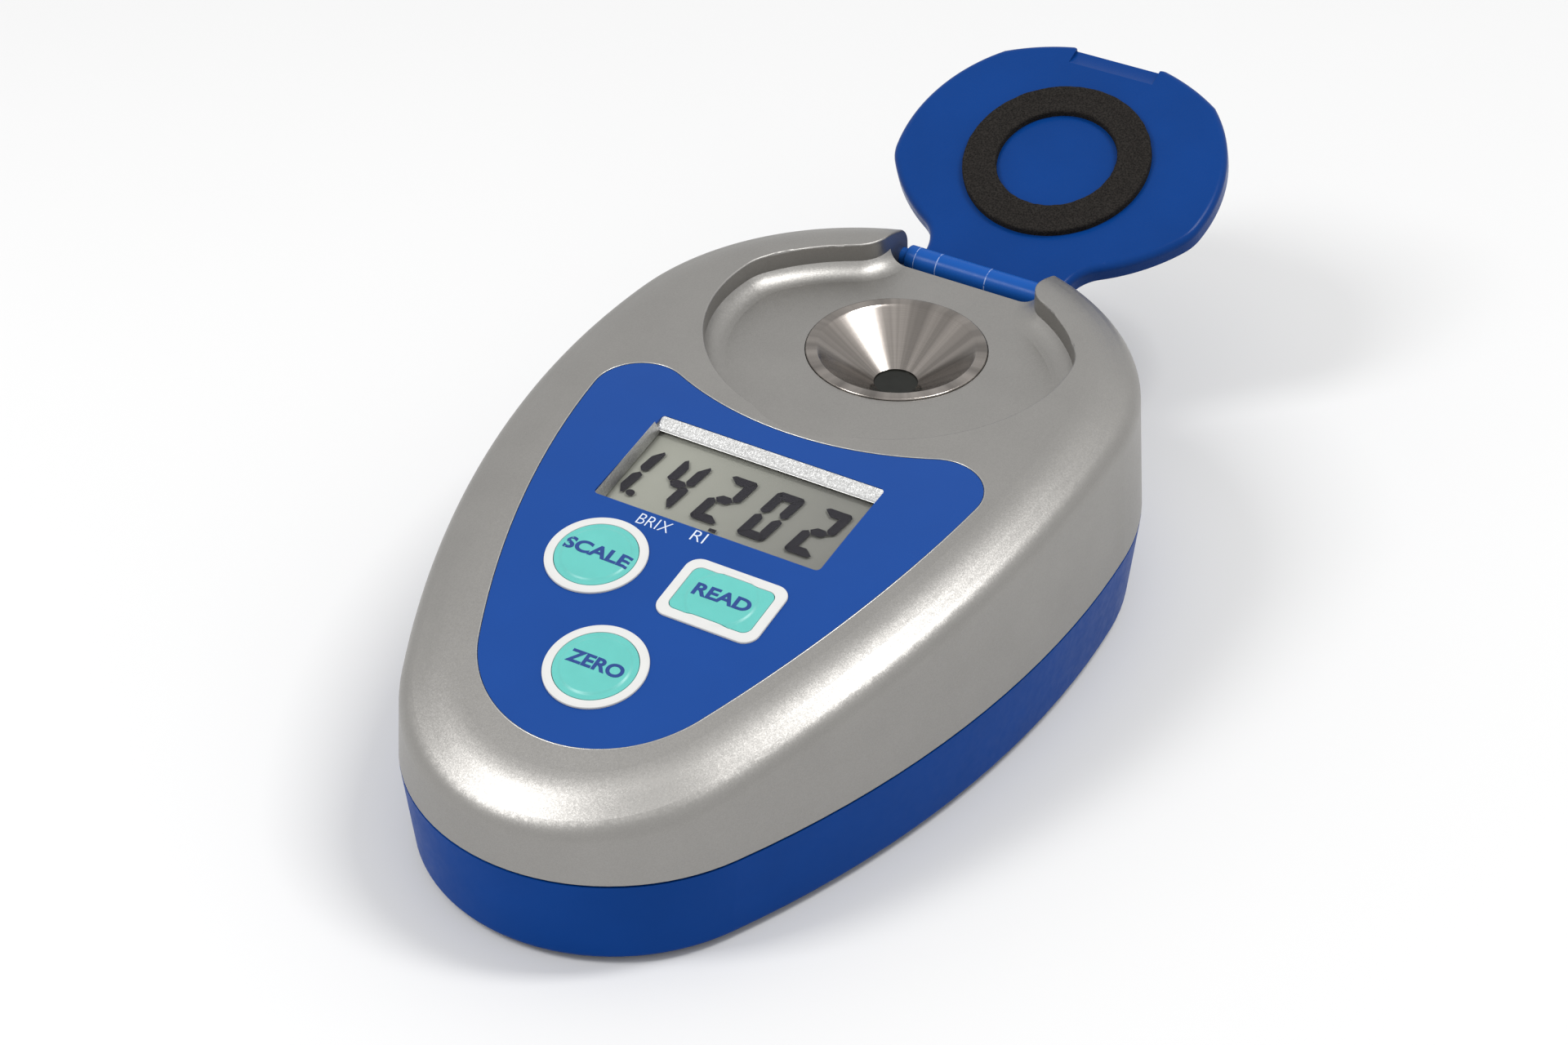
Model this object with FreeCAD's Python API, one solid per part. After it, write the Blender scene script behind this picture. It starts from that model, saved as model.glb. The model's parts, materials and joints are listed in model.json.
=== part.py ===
import FreeCAD, Part
import math
import os

V = FreeCAD.Vector

# Frame: X to the right, Y to the back, Z up, millimetres. Heights below are measured from the table. Each
# finished piece is then lowered by FOOT_PROUD, so the origin is on the base's underside, midway along it.

# ---------------------------------------------------------------- driving dimensions: body
HALF_WIDTH = 45.0          # widest half width of the egg-shaped body, at the parting line
FRONT_Y = -73.0            # narrow front tip
REAR_Y = 73.0              # wide rear end
FRONT_R = 31.2             # plan radius of the front tip
REAR_R = 44.5              # plan radius of the rear end
FOOT_PROUD = 0.8           # how far the rubber feet lift the base off the table
BASE_TOP = 15.5            # upper edge of the lower shell
SHELL_LOW = 15.9           # lower edge of the upper shell; the seal fills the groove between them
TOP_Z = 39.8               # flat rear part of the top face
CROWN_R = 373.0            # side-view radius of the top face where it falls away to the front
CROWN_Y = 28.1             # where that fall begins
WALL = 2.3                 # moulded wall thickness
BASE_DRAFT = 1.4           # how far the lower shell narrows from its top edge to its foot
SHELL_DRAFT = math.tan(math.radians(4.1))
SHOULDER_DOWN = 2.4        # the shoulder falls this far down the upper shell's side
SHOULDER_IN = 6.0          # and starts this far in across its top
SHOULDER_SIDE_R = 4.0      # it turns into the side with this radius
SHOULDER_TOP_R = 12.0      # and into the top face with this one

# ---------------------------------------------------------------- driving dimensions: panel
PANEL_HALF = 33.3
PANEL_FRONT = -60.4
PANEL_FRONT_R = 20.2
PANEL_REAR = 61.3          # the panel's egg is cut off by the concave rear edge before it gets here
PANEL_REAR_R = 32.9
PANEL_CUT_R = 52.0         # concave rear edge, round the lid well
PANEL_CUT_Y = 58.9
PANEL_CORNER_R = 7.5
RECESS = 0.5               # depth of the label recess
OVERLAY_T = 0.4            # thickness of the printed label
PLATE_T = 2.2              # shell thickness under the label
PANEL_GAP = 0.15

WINDOW_HALF = 19.0
WINDOW_Y = (-17.6, 2.0)
WINDOW_BEVEL = 2.3         # the slope along the window's rear edge reaches this far forward
WINDOW_DEPTH = 1.9         # depth of that slope's foot, in the panel's tilted frame
LENS_T = 0.5               # clear pane over the display
LENS_TOP = -WINDOW_DEPTH - 0.3
DISPLAY_TOP = LENS_TOP - LENS_T - 0.05
TRAY_BELOW = 1.5           # the display's tray stops this far below the display's face

KEY_R = 6.15
KEY_RING_R = 7.6
KEY_GAP = 0.1
KEY_DOME = 0.35
KEY_TRAVEL = 0.4
STEM_GAP = 0.15            # left between a pressed key and its switch
BORDER_PROUD = 0.3         # how far a key's border stands off the label
SCALE_AT = (-11.35, -28.65)
ZERO_AT = (0.0, -46.7)
READ_AT = (9.65, -28.7)
READ_HALF = (6.65, 4.3)
READ_RING_HALF = (8.3, 6.0)
READ_CORNER = 1.3

# ---------------------------------------------------------------- driving dimensions: lid well and lid
WELL_FLOOR = 34.9
WELL_R = 29.2              # front and sides of the well
WELL_Y = 38.6
WELL_BACK_R = 33.0         # back of the well, before it narrows to the hinge
WELL_BACK_Y = 28.6
WELL_FLOOR_R = 4.0         # the floor turns up with this radius
WELL_CREASE = 1.8          # and meets the upright wall in a crease this far above the floor
WELL_EDGE_R = 0.3          # softened top edge of the well
NECK_HALF = 13.6           # half width of the slot that the hinge sits in
NECK_BLEND = 6.0
SCOOP_R = 14.0             # finger scoop at the front of the well
SCOOP_Y = 21.6

HINGE_Y = 67.5
HINGE_Z = 33.1
BARREL_R = 2.15
BARREL_HALF = 12.4
FINGER_FROM = 8.6          # the barrel's ends are free from here outwards, to snap into the shell
PIN_R = 1.4
PIN_CLEAR = 0.05
PIN_REACH = 14.9           # the stub pins end here, inside the shell's cheeks
TROUGH_R = 5.6
OPEN_DEG = 159.0           # travel from closed to the stop

CUP_Y = 40.35
CUP_R = 14.3               # outer edge of the steel cup's flat rim
CONE_R = 12.45             # mouth of the cone
CONE_FOOT_R = 3.5          # hole over the prism
CUP_PROUD = 0.3
CONE_DEPTH = 6.7

LID_GAP = 0.8              # between the lid and the well's wall
LID_INNER = 36.7           # closed: level of the lid's inner face
LID_FRONT = 12.5           # closed: front end of the lid
LID_FRONT_R = 37.1
FOAM_OUT = 15.84
FOAM_IN = 10.12
FOAM_T = 1.35
FOAM_Y = 38.3              # closed: centre of the foam ring

# ---------------------------------------------------------------- driving dimensions: inside
COLUMNS = [(-32.0, -22.0), (32.0, -22.0), (-32.0, 42.0), (32.0, 42.0)]
COLUMN_R = 3.6
SCREW_R = 1.4
SCREW_TOP = 24.0
SCREW_HEAD_R = 2.7
SCREW_HEAD_T = 2.0
FEET = [(-22.0, -46.0), (22.0, -46.0), (-28.0, 50.0), (28.0, 50.0)]
FOOT_R = 5.0
FOOT_T = 1.8
CELL_R = 5.25
CELL_LEN = 44.5
CELL_X = 5.55
BAY_Y = -28.5              # centre of the battery bay
BAY_HALF = (11.4, 24.8)
DOOR_HALF = (13.2, 26.6)
DOOR_T = 1.3
DOOR_GAP = 0.25
BOARD_TOP = -9.2           # upper face of the circuit board, below the panel's tangent plane
BOARD_T = 1.6
SWITCH_H = 3.9             # from the board to the top of a switch's plunger
DECK_Y = -25.0             # the board is parallel to the panel here


def crown_z(y):
    """Height of the top face at a distance y along the body."""
    back = max(CROWN_Y - y, 0.0)
    return TOP_Z - (CROWN_R - math.sqrt(CROWN_R ** 2 - back ** 2))


def crown_tilt(y):
    """Slope of the top face at a distance y along the body, in degrees."""
    return math.degrees(math.asin((CROWN_Y - y) / CROWN_R))


def on_face(x, y, shape):
    """Stand a shape built along Z on the top face at (x, y), square to the face there."""
    shape = shape.copy()
    shape.rotate(V(0, 0, 0), V(1, 0, 0), crown_tilt(y))
    shape.translate(V(x, y, crown_z(y)))
    return shape


def deck_point(x, y):
    """A point of the top face in the tilted frame of the panel: x, along the slope, and off it."""
    tilt = math.radians(crown_tilt(DECK_Y))
    dy = y - DECK_Y
    dz = crown_z(y) - crown_z(DECK_Y)
    return V(x, dy * math.cos(tilt) + dz * math.sin(tilt),
             dz * math.cos(tilt) - dy * math.sin(tilt))


def on_deck(shape):
    """Carry a shape from the panel's tilted frame to the body's frame."""
    return on_face(0, DECK_Y, shape)


# ---------------------------------------------------------------- shared shapes
def box(x0, x1, y0, y1, z0, z1):
    return Part.makeBox(x1 - x0, y1 - y0, z1 - z0, V(x0, y0, z0))


def rod(r, x, y, z0, z1):
    return Part.makeCylinder(r, z1 - z0, V(x, y, z0))


def cross_rod(r, y, z, x0, x1):
    return Part.makeCylinder(r, x1 - x0, V(x0, y, z), V(1, 0, 0))


def union(shapes):
    result = shapes[0]
    for shape in shapes[1:]:
        result = result.fuse(shape)
    return result.removeSplitter()


def group(shapes):
    return Part.makeCompound(shapes)


def spin(points, x=0.0, y=0.0):
    """Solid of revolution about a vertical line, from (radius, height) points."""
    wire = Part.makePolygon([V(r, 0, z) for r, z in points + points[:1]])
    solid = Part.Face(wire).revolve(V(0, 0, 0), V(0, 0, 1), 360)
    solid.translate(V(x, y, 0))
    return solid


def side_extrude(points, x0, x1):
    """Prism across X from a (y, z) outline."""
    wire = Part.makePolygon([V(x0, y, z) for y, z in points + points[:1]])
    return Part.Face(wire).extrude(V(x1 - x0, 0, 0))


def rounded_block(cx, cy, half_x, half_y, z0, z1, r):
    block = box(cx - half_x, cx + half_x, cy - half_y, cy + half_y, z0, z1)
    return block.makeFillet(r, upright_edges(block))


def upright_edges(shape, keep=lambda middle: True):
    """Straight edges along Z whose middle point passes the test."""
    found = []
    for edge in shape.Edges:
        low, high = edge.Vertexes[0].Point, edge.Vertexes[-1].Point
        span = high - low
        if span.Length > 0.1 and abs(span.z) > 0.999 * span.Length and keep((low + high) * 0.5):
            found.append(edge)
    return found


def egg_wire(half, front, rear, r_front, r_rear, z):
    """Egg outline of four tangent arcs: front, right side, rear and left side."""
    y_front, y_rear = front + r_front, rear - r_rear
    a, b, span = half - r_rear, half - r_front, y_rear - y_front
    lead = 1.0 - b / a
    root = math.sqrt(span ** 2 - lead * (span ** 2 - b ** 2 + a * b))
    s = (span - root) / lead
    d = (s ** 2 - a ** 2) / (2 * a)
    centre, radius = V(-d, y_rear - s, z), half + d

    def touch(y_end):
        reach = V(0, y_end, z) - centre
        return centre + reach * (radius / reach.Length)

    low, high = touch(y_front), touch(y_rear)
    side = V(half, centre.y, z)
    points = [(V(-low.x, low.y, z), V(0, front, z), low), (low, side, high),
              (high, V(0, rear, z), V(-high.x, high.y, z)),
              (V(-high.x, high.y, z), V(-half, centre.y, z), V(-low.x, low.y, z))]
    return Part.Wire([Part.Arc(*three).toShape() for three in points])


def body_wire(inset, z):
    return egg_wire(HALF_WIDTH - inset, FRONT_Y + inset, REAR_Y - inset,
                    FRONT_R - inset, REAR_R - inset, z)


def body_loft(inset_low, z_low, inset_high, z_high):
    wires = [body_wire(inset_low, z_low), body_wire(inset_high, z_high)]
    return Part.makeLoft(wires, True, True)


def under_crown(drop):
    """Everything below the top face lowered by a given amount."""
    r, top = CROWN_R - drop, TOP_Z - drop
    far = -95.0

    def at(y):
        return V(-70, y, top - r + math.sqrt(r ** 2 - (CROWN_Y - y) ** 2))

    arc = Part.Arc(at(far), at((far + CROWN_Y) / 2), at(CROWN_Y)).toShape()
    corners = [at(CROWN_Y), V(-70, 95, top), V(-70, 95, -5), V(-70, far, -5), at(far)]
    wire = Part.Wire([arc] + Part.makePolygon(corners).Edges)
    return Part.Face(wire).extrude(V(140, 0, 0))


def well_block(grow, z0, z1):
    """The lid well's plan, grown outwards, as a block: round front, shoulders and hinge neck."""
    front = rod(WELL_R + grow, 0, WELL_Y, z0, z1)
    round_part = front.common(rod(WELL_BACK_R + grow, 0, WELL_BACK_Y, z0, z1))
    blend = 9.0 + grow
    round_part = round_part.makeFillet(blend, upright_edges(round_part, lambda p: p.y > WELL_Y))
    neck_half = NECK_HALF + grow
    block = union([round_part, box(-neck_half, neck_half, 45, 95, z0, z1)])
    corners = upright_edges(block, lambda p: 45 < p.y < 80 and abs(abs(p.x) - neck_half) < 0.1)
    return block.makeFillet(NECK_BLEND - grow, corners)


def well_tool():
    """The room of the lid's well: floor turning up to a crease, upright wall and the finger scoop."""
    beyond = WELL_FLOOR_R - math.sqrt(WELL_FLOOR_R ** 2 - (WELL_FLOOR_R - WELL_CREASE) ** 2)
    low = well_block(beyond, WELL_FLOOR, 60)
    foot = [edge for edge in low.Edges if edge.BoundBox.ZMax < WELL_FLOOR + 0.01 and edge.BoundBox.YMax < 94]
    low = low.makeFillet(WELL_FLOOR_R, foot).common(well_block(0.0, WELL_FLOOR, 60))
    scoop = rod(SCOOP_R, 0, SCOOP_Y, WELL_FLOOR + WELL_CREASE, 60)
    return union([low, scoop])


def panel_block(inset, z0, z1):
    """The label's plan as an upright block."""
    wire = egg_wire(PANEL_HALF - inset, PANEL_FRONT + inset, PANEL_REAR - inset,
                    PANEL_FRONT_R - inset, PANEL_REAR_R - inset, z0)
    block = Part.Face(wire).extrude(V(0, 0, z1 - z0))
    block = block.cut(rod(PANEL_CUT_R + inset, 0, PANEL_CUT_Y, z0 - 1, z1 + 1))
    block = min(block.Solids, key=lambda solid: solid.CenterOfMass.y)
    corners = upright_edges(block, lambda p: abs(p.x) > 15 and -5 < p.y < 25)
    return block.makeFillet(PANEL_CORNER_R - inset, corners)


# ---------------------------------------------------------------- hinge geometry
def turn_lid(shape):
    """Carry a lid piece from the closed position to the open rest position."""
    shape = shape.copy()
    shape.rotate(V(0, HINGE_Y, HINGE_Z), V(1, 0, 0), -OPEN_DEG)
    return shape


def hinge_space(grow, half):
    """Room for the barrel and the lid's neck: a trough, open to the back above the stop."""
    tilt = math.radians(180 - OPEN_DEG)
    along, off = (math.cos(tilt), math.sin(tilt)), (-math.sin(tilt), math.cos(tilt))
    under = TROUGH_R - 0.25 + grow
    foot = (HINGE_Y - under * off[0], HINGE_Z - under * off[1])
    far = (foot[0] + 30 * along[0], foot[1] + 30 * along[1])
    wedge = side_extrude([foot, far, (far[0], 60), (HINGE_Y, 60)], -half, half)
    return union([cross_rod(TROUGH_R + grow, HINGE_Y, HINGE_Z, -half, half), wedge])


# ---------------------------------------------------------------- housing
def make_base_shell():
    foot_z = FOOT_PROUD
    outer = body_loft(BASE_DRAFT, foot_z, 0.0, BASE_TOP)
    outer = outer.makeFillet(1.2, [e for e in outer.Edges if e.BoundBox.ZMax < foot_z + 0.01])
    inner = body_loft(BASE_DRAFT + WALL, foot_z + WALL, WALL, BASE_TOP + 0.01)
    shell = outer.cut(inner)
    half_x, half_y = BAY_HALF
    bay = box(-half_x - 1.6, half_x + 1.6, BAY_Y - half_y - 1.6, BAY_Y + half_y + 1.6, foot_z + 1, 14.0)
    posts = [rod(COLUMN_R, x, y, foot_z + 1, BASE_TOP) for x, y in COLUMNS]
    pads = [rod(FOOT_R + 1.4, x, y, foot_z + 1, foot_z + WALL + 1.2) for x, y in FEET]
    shell = union([shell, bay] + posts + pads)
    shell = shell.cut(box(-half_x, half_x, BAY_Y - half_y, BAY_Y + half_y, -1, 20))
    door_x, door_y = DOOR_HALF[0] + DOOR_GAP, DOOR_HALF[1] + DOOR_GAP
    shell = shell.cut(rounded_block(0, BAY_Y, door_x, door_y, foot_z - 1, foot_z + DOOR_T + 0.1, 2.25))
    for x, y in COLUMNS:
        shell = shell.cut(rod(SCREW_R + 0.3, x, y, 0, 20))
        shell = shell.cut(rod(SCREW_HEAD_R + 0.3, x, y, 0, foot_z + 4.0))
    for x, y in FEET:
        shell = shell.cut(rod(FOOT_R + 0.1, x, y, 0, foot_z + FOOT_T - FOOT_PROUD))
    plate = box(-14, 14, 26, 44, 0, foot_z + 0.4)
    return shell.cut(plate)


def rim_edges(body, drop, slack):
    """Edges that run round the body at a given drop below the top face."""
    rim = []
    for edge in body.Edges:
        mid = edge.valueAt((edge.FirstParameter + edge.LastParameter) / 2)
        across_top = abs(mid.y - CROWN_Y) < 0.05 and abs(mid.x) < 8
        if abs(crown_z(mid.y) - mid.z - drop) < slack and edge.Length > 10 and not across_top:
            rim.append(edge)
    return rim


def shell_outside():
    """The upper shell as a solid block: drafted side, crowned top and a soft shoulder between them."""
    rise = TOP_Z + 3 - SHELL_LOW
    outer = body_loft(0.0, SHELL_LOW, rise * SHELL_DRAFT, SHELL_LOW + rise).common(under_crown(0))
    outer = outer.makeChamfer(SHOULDER_DOWN, SHOULDER_IN, rim_edges(outer, 0.0, 0.05))
    outer = outer.makeFillet(SHOULDER_SIDE_R, rim_edges(outer, SHOULDER_DOWN, 0.7))
    return outer.makeFillet(SHOULDER_TOP_R, rim_edges(outer, 0.0, 0.05))


def shell_inside():
    """The cavity of the upper shell, with the well, the cup seat and the hinge cheeks left standing."""
    rise = TOP_Z - SHELL_LOW
    room = body_loft(WALL, SHELL_LOW - 0.01, WALL + 0.3 + rise * SHELL_DRAFT, SHELL_LOW + rise)
    room = room.common(under_crown(RECESS + PLATE_T))
    corner = body_loft(WALL + 3.6, SHELL_LOW - 0.01, WALL + 4.0, TOP_Z)
    room = room.common(union([corner, body_loft(WALL, SHELL_LOW - 0.01, WALL + 0.8, 21.0)]))
    room = room.cut(well_block(WALL, WELL_FLOOR - WALL, 60))
    cheeks = box(-NECK_HALF - 3.2, NECK_HALF + 3.2, HINGE_Y - 9, 80, 24, 60)
    return room.cut(cheeks).cut(hinge_space(WALL, NECK_HALF + 1))


def window_tool():
    """Opening over the display: a slope along its rear edge, upright on the other three sides."""
    front, rear = deck_point(0, WINDOW_Y[0]), deck_point(0, WINDOW_Y[1])
    toe, floor = rear.y - WINDOW_BEVEL, -WINDOW_DEPTH
    side = [(front.y, 1.0), (front.y, LENS_TOP - 0.1), (toe, LENS_TOP - 0.1), (toe, floor),
            (rear.y, rear.z - RECESS), (rear.y, 1.0)]
    opening = side_extrude(side, -WINDOW_HALF, WINDOW_HALF)
    pane = box(-WINDOW_HALF - 1.1, WINDOW_HALF + 1.1, front.y - 1.1, rear.y + 1.1, -9, LENS_TOP)
    return on_deck(union([opening, pane]))


def key_tool(at, half, grow, w0, w1):
    """Upright prism round one key: round, or a rounded rectangle where half gives its size."""
    if half is None:
        return on_face(*at, rod(KEY_R + grow, 0, 0, w0, w1))
    return on_face(*at, rounded_block(0, 0, half[0] + grow, half[1] + grow, w0, w1, READ_CORNER + grow))


KEYS = [("scale", SCALE_AT, None), ("zero", ZERO_AT, None), ("read", READ_AT, READ_HALF)]


def make_top_shell():
    shell = shell_outside().cut(well_tool()).cut(hinge_space(0.0, NECK_HALF))
    shell = soften_well_edge(shell)
    shell = shell.cut(shell_inside())
    columns = []
    for x, y in COLUMNS:
        top = WELL_FLOOR - 1 if y > 0 else crown_z(y) - 3
        columns.append(rod(COLUMN_R, x, y, BASE_TOP + 0.2, top))
    for x, y in board_posts():
        p = deck_point(x, y)
        columns.append(on_deck(rod(2.1, p.x, p.y, BOARD_TOP, p.z - 2.0)))
    shell = union([shell] + columns)
    shell = shell.cut(panel_block(0.0, 20, 60).cut(under_crown(RECESS)))
    shell = shell.cut(window_tool())
    for name, at, half in KEYS:
        shell = shell.cut(key_tool(at, half, KEY_GAP + 0.1, -4, 1))
        shell = shell.cut(key_tool(at, half, 1.4, -6, -RECESS - PLATE_T))
    for x, y in COLUMNS:
        shell = shell.cut(rod(SCREW_R - 0.2, x, y, 10, SCREW_TOP + 1))
    for x, y in board_posts():
        p = deck_point(x, y)
        shell = shell.cut(on_deck(rod(0.7, p.x, p.y, BOARD_TOP - 1, BOARD_TOP + 4)))
    shell = shell.cut(rod(CUP_R + 0.1, 0, CUP_Y, WELL_FLOOR - 1.2, WELL_FLOOR + 5))
    shell = shell.cut(rod(CUP_R - 0.9, 0, CUP_Y, WELL_FLOOR - 5, WELL_FLOOR + 5))
    reach = PIN_REACH + 0.3
    return shell.cut(cross_rod(PIN_R + PIN_CLEAR, HINGE_Y, HINGE_Z, -reach, reach))


def soften_well_edge(shell):
    """Small radius round the top of the well and down the sides of the hinge slot."""
    rim = []
    for edge in shell.Edges:
        mid = edge.valueAt((edge.FirstParameter + edge.LastParameter) / 2)
        on_top = abs(mid.z - crown_z(mid.y)) < 0.02 and mid.y > 5
        radius = math.hypot(mid.x, mid.y - WELL_Y)
        if on_top and radius < WELL_R + 1.5 and not (abs(mid.y - CROWN_Y) < 0.05):
            rim.append(edge)
    return shell.makeFillet(WELL_EDGE_R, rim)


def board_posts():
    return [(-24.2, -1.0), (24.2, -1.0), (-24.2, -30.0), (24.2, -30.0)]


def make_shell_gasket():
    band = body_loft(0.5, BASE_TOP, 0.5, SHELL_LOW)
    return band.cut(body_loft(WALL, BASE_TOP - 1, WALL, SHELL_LOW + 1))


def make_rubber_feet():
    feet = []
    for x, y in FEET:
        foot = rod(FOOT_R, x, y, 0, FOOT_T)
        feet.append(foot.makeFillet(0.5, [e for e in foot.Edges if e.BoundBox.ZMax < 0.01]))
    return group(feet)


def make_housing_screws():
    """Cross-head screws that come up from below through the base into the upper shell."""
    screws = []
    for x, y in COLUMNS:
        seat = FOOT_PROUD + 4.0
        head = rod(SCREW_HEAD_R, x, y, seat - SCREW_HEAD_T, seat)
        screw = union([head, rod(SCREW_R, x, y, seat, SCREW_TOP)])
        slot = seat - SCREW_HEAD_T
        screw = screw.cut(box(x - 1.5, x + 1.5, y - 0.3, y + 0.3, slot - 1, slot + 0.9))
        screws.append(screw.cut(box(x - 0.3, x + 0.3, y - 1.5, y + 1.5, slot - 1, slot + 0.9)))
    return group(screws)


def make_rating_plate():
    return rounded_block(0, 35, 13.8, 8.8, FOOT_PROUD + 0.1, FOOT_PROUD + 0.4, 1.5)


def make_battery_door():
    low = FOOT_PROUD
    door = rounded_block(0, BAY_Y, DOOR_HALF[0], DOOR_HALF[1], low, low + DOOR_T, 2.0)
    half_x, half_y = BAY_HALF
    rim = box(-half_x + 0.3, half_x - 0.3, BAY_Y - half_y + 0.3, BAY_Y + half_y - 0.3, low + 0.5, low + 2.4)
    hollow = box(-half_x + 1.5, half_x - 1.5, BAY_Y - half_y + 1.5, BAY_Y + half_y - 1.5, low + DOOR_T, 5)
    door = union([door, rim.cut(hollow)])
    for k in range(5):
        y = BAY_Y - 19.0 + 1.6 * k
        door = door.cut(box(-5, 5, y, y + 0.7, low - 1, low + 0.4))
    return door


def cell_z():
    return FOOT_PROUD + DOOR_T + 0.3 + CELL_R


def make_battery_cells():
    """Two cylindrical cells side by side, nose to tail."""
    cells = []
    for x, nose in ((-CELL_X, 1), (CELL_X, -1)):
        along, tail = V(0, nose, 0), V(x, BAY_Y - nose * CELL_LEN / 2, cell_z())
        case = Part.makeCylinder(CELL_R, CELL_LEN - 1.0, tail, along)
        case = case.makeFillet(0.5, [e for e in case.Edges if e.BoundBox.YLength < 0.01])
        tip = Part.makeCylinder(1.9, 1.2, tail + along * (CELL_LEN - 1.2), along)
        cells.append(case.fuse(tip))
    return group(cells)


def make_battery_contacts():
    """Sprung leaf at each end of each cell."""
    leaves = []
    wall = BAY_HALF[1]
    for x in (-CELL_X, CELL_X):
        for end in (-1, 1):
            tip = CELL_LEN / 2
            points = [(wall, 3.5), (wall, 13.0), (wall - 0.4, 13.0), (wall - 0.4, 9.6), (tip + 0.1, 7.4),
                      (tip, 7.0), (tip + 0.4, 6.4), (wall - 0.4, 4.2), (wall - 0.4, 3.5)]
            leaf = side_extrude([(BAY_Y + end * y, z) for y, z in points], x - 3.0, x + 3.0)
            leaves.append(leaf)
    return group(leaves)


# ---------------------------------------------------------------- panel, keys and display
def window_block(grow, z0, z1):
    y0, y1 = WINDOW_Y
    half = WINDOW_HALF + grow
    return rounded_block(0, (y0 + y1) / 2, half, (y1 - y0) / 2 + grow, z0, z1, 0.8)


def make_keypad_overlay():
    label = panel_block(PANEL_GAP, 20, 60).common(under_crown(RECESS - OVERLAY_T))
    label = label.cut(under_crown(RECESS)).cut(window_block(0.0, 20, 60))
    for name, at, half in KEYS:
        label = label.cut(key_tool(at, half, KEY_GAP, -5, 5))
    return label


def key_border(at, half):
    """Thin raised border printed on the label round a key."""
    top = OVERLAY_T - RECESS + BORDER_PROUD
    if half is None:
        ring = rod(KEY_RING_R, 0, 0, -2, top)
        hole = rod(KEY_R + KEY_GAP, 0, 0, -3, top + 1)
    else:
        ring = rounded_block(0, 0, READ_RING_HALF[0], READ_RING_HALF[1], -2, top, 2.2)
        hole = rounded_block(0, 0, half[0] + KEY_GAP, half[1] + KEY_GAP, -3, top + 1, READ_CORNER + KEY_GAP)
    ring = ring.makeFillet(0.12, [e for e in ring.Edges if e.BoundBox.ZMin > top - 0.01])
    return on_face(*at, ring.cut(hole)).cut(under_crown(RECESS - OVERLAY_T))


def make_key_borders():
    return group([key_border(at, half) for name, at, half in KEYS])


def switch_depth(at):
    """How far below the top face a key's switch begins, along the key's own axis."""
    lean = math.radians(crown_tilt(at[1]) - crown_tilt(DECK_Y))
    return (deck_point(*at).z - BOARD_TOP - SWITCH_H) / math.cos(lean)


def make_key(at, half):
    """Domed key cap with a raised disc, a stem down to its switch and a flange that keeps it in."""
    top = OVERLAY_T - RECESS + BORDER_PROUD
    foot = -RECESS - PLATE_T
    size = KEY_R if half is None else half[0]
    ball = (size ** 2 + KEY_DOME ** 2) / (2 * KEY_DOME)
    dome = Part.makeSphere(ball, V(0, 0, top + KEY_DOME - ball))
    if half is None:
        cap = rod(KEY_R, 0, 0, foot, top + 2).common(dome)
        disc_r = 5.1
        flange = rod(KEY_R + 1.0, 0, 0, foot - 0.9, foot - 0.15)
    else:
        cap = rounded_block(0, 0, half[0], half[1], foot, top + 2, READ_CORNER).common(dome)
        disc_r = 3.9
        flange = rounded_block(0, 0, half[0] + 1, half[1] + 1, foot - 0.9, foot - 0.15, 2.0)
    disc = rod(disc_r, 0, 0, foot, top + KEY_DOME + 0.22)
    disc = disc.makeFillet(0.2, [e for e in disc.Edges if e.BoundBox.ZMin > top])
    neck = rod(3.5, 0, 0, foot - 0.2, foot + 0.1)
    stem = rod(1.5, 0, 0, KEY_TRAVEL + STEM_GAP - switch_depth(at), foot)
    return on_face(*at, union([cap, disc, neck, flange, stem]))


def make_window_lens():
    a, b = deck_point(-WINDOW_HALF, WINDOW_Y[0]), deck_point(WINDOW_HALF, WINDOW_Y[1])
    half_y = (b.y - a.y) / 2 + 1.0
    return on_deck(rounded_block(0, (a.y + b.y) / 2, b.x + 1.0, half_y, LENS_TOP - LENS_T, LENS_TOP, 0.5))


def display_block(grow_x, grow_y, w0, w1):
    a, b = deck_point(0, WINDOW_Y[0]), deck_point(0, WINDOW_Y[1])
    return box(-WINDOW_HALF - grow_x, WINDOW_HALF + grow_x, a.y - grow_y, b.y + grow_y, w0, w1)


def make_display_glass():
    return on_deck(display_block(0.8, 0.8, DISPLAY_TOP - 1.6, DISPLAY_TOP))


def make_display_back():
    return on_deck(display_block(0.6, -2.4, DISPLAY_TOP - 2.1, DISPLAY_TOP - 1.6))


def make_display_frame():
    """Tray on the board that holds the display and the contact strips."""
    low = BOARD_TOP
    tray = display_block(1.9, 1.9, low, DISPLAY_TOP - TRAY_BELOW)
    tray = tray.cut(display_block(0.85, 0.85, low - 1, 0))
    bridge = display_block(1.0, -2.4, DISPLAY_TOP - 3.3, DISPLAY_TOP - 2.1)
    return on_deck(union([tray, bridge]))


def make_contact_strips():
    """Two striped elastomer strips that carry the signals from the board to the display."""
    strips = []
    a, b = deck_point(0, WINDOW_Y[0]), deck_point(0, WINDOW_Y[1])
    for y in (a.y + 0.5, b.y - 0.5):
        strips.append(on_deck(box(-17, 17, y - 0.9, y + 0.9, BOARD_TOP, DISPLAY_TOP - 1.6)))
    return group(strips)


def make_main_board():
    low, high = BOARD_TOP - BOARD_T, BOARD_TOP
    outline = [(-26.5, 29), (26.5, 29), (26.5, -8), (18, -31), (-18, -31), (-26.5, -8)]
    wire = Part.makePolygon([V(x, y, low) for x, y in outline + outline[:1]])
    board = Part.Face(wire).extrude(V(0, 0, high - low))
    board = board.makeFillet(1.5, upright_edges(board))
    for x, y in board_posts():
        p = deck_point(x, y)
        board = board.cut(rod(0.95, p.x, p.y, low - 1, high + 1))
    return on_deck(board)


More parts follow.
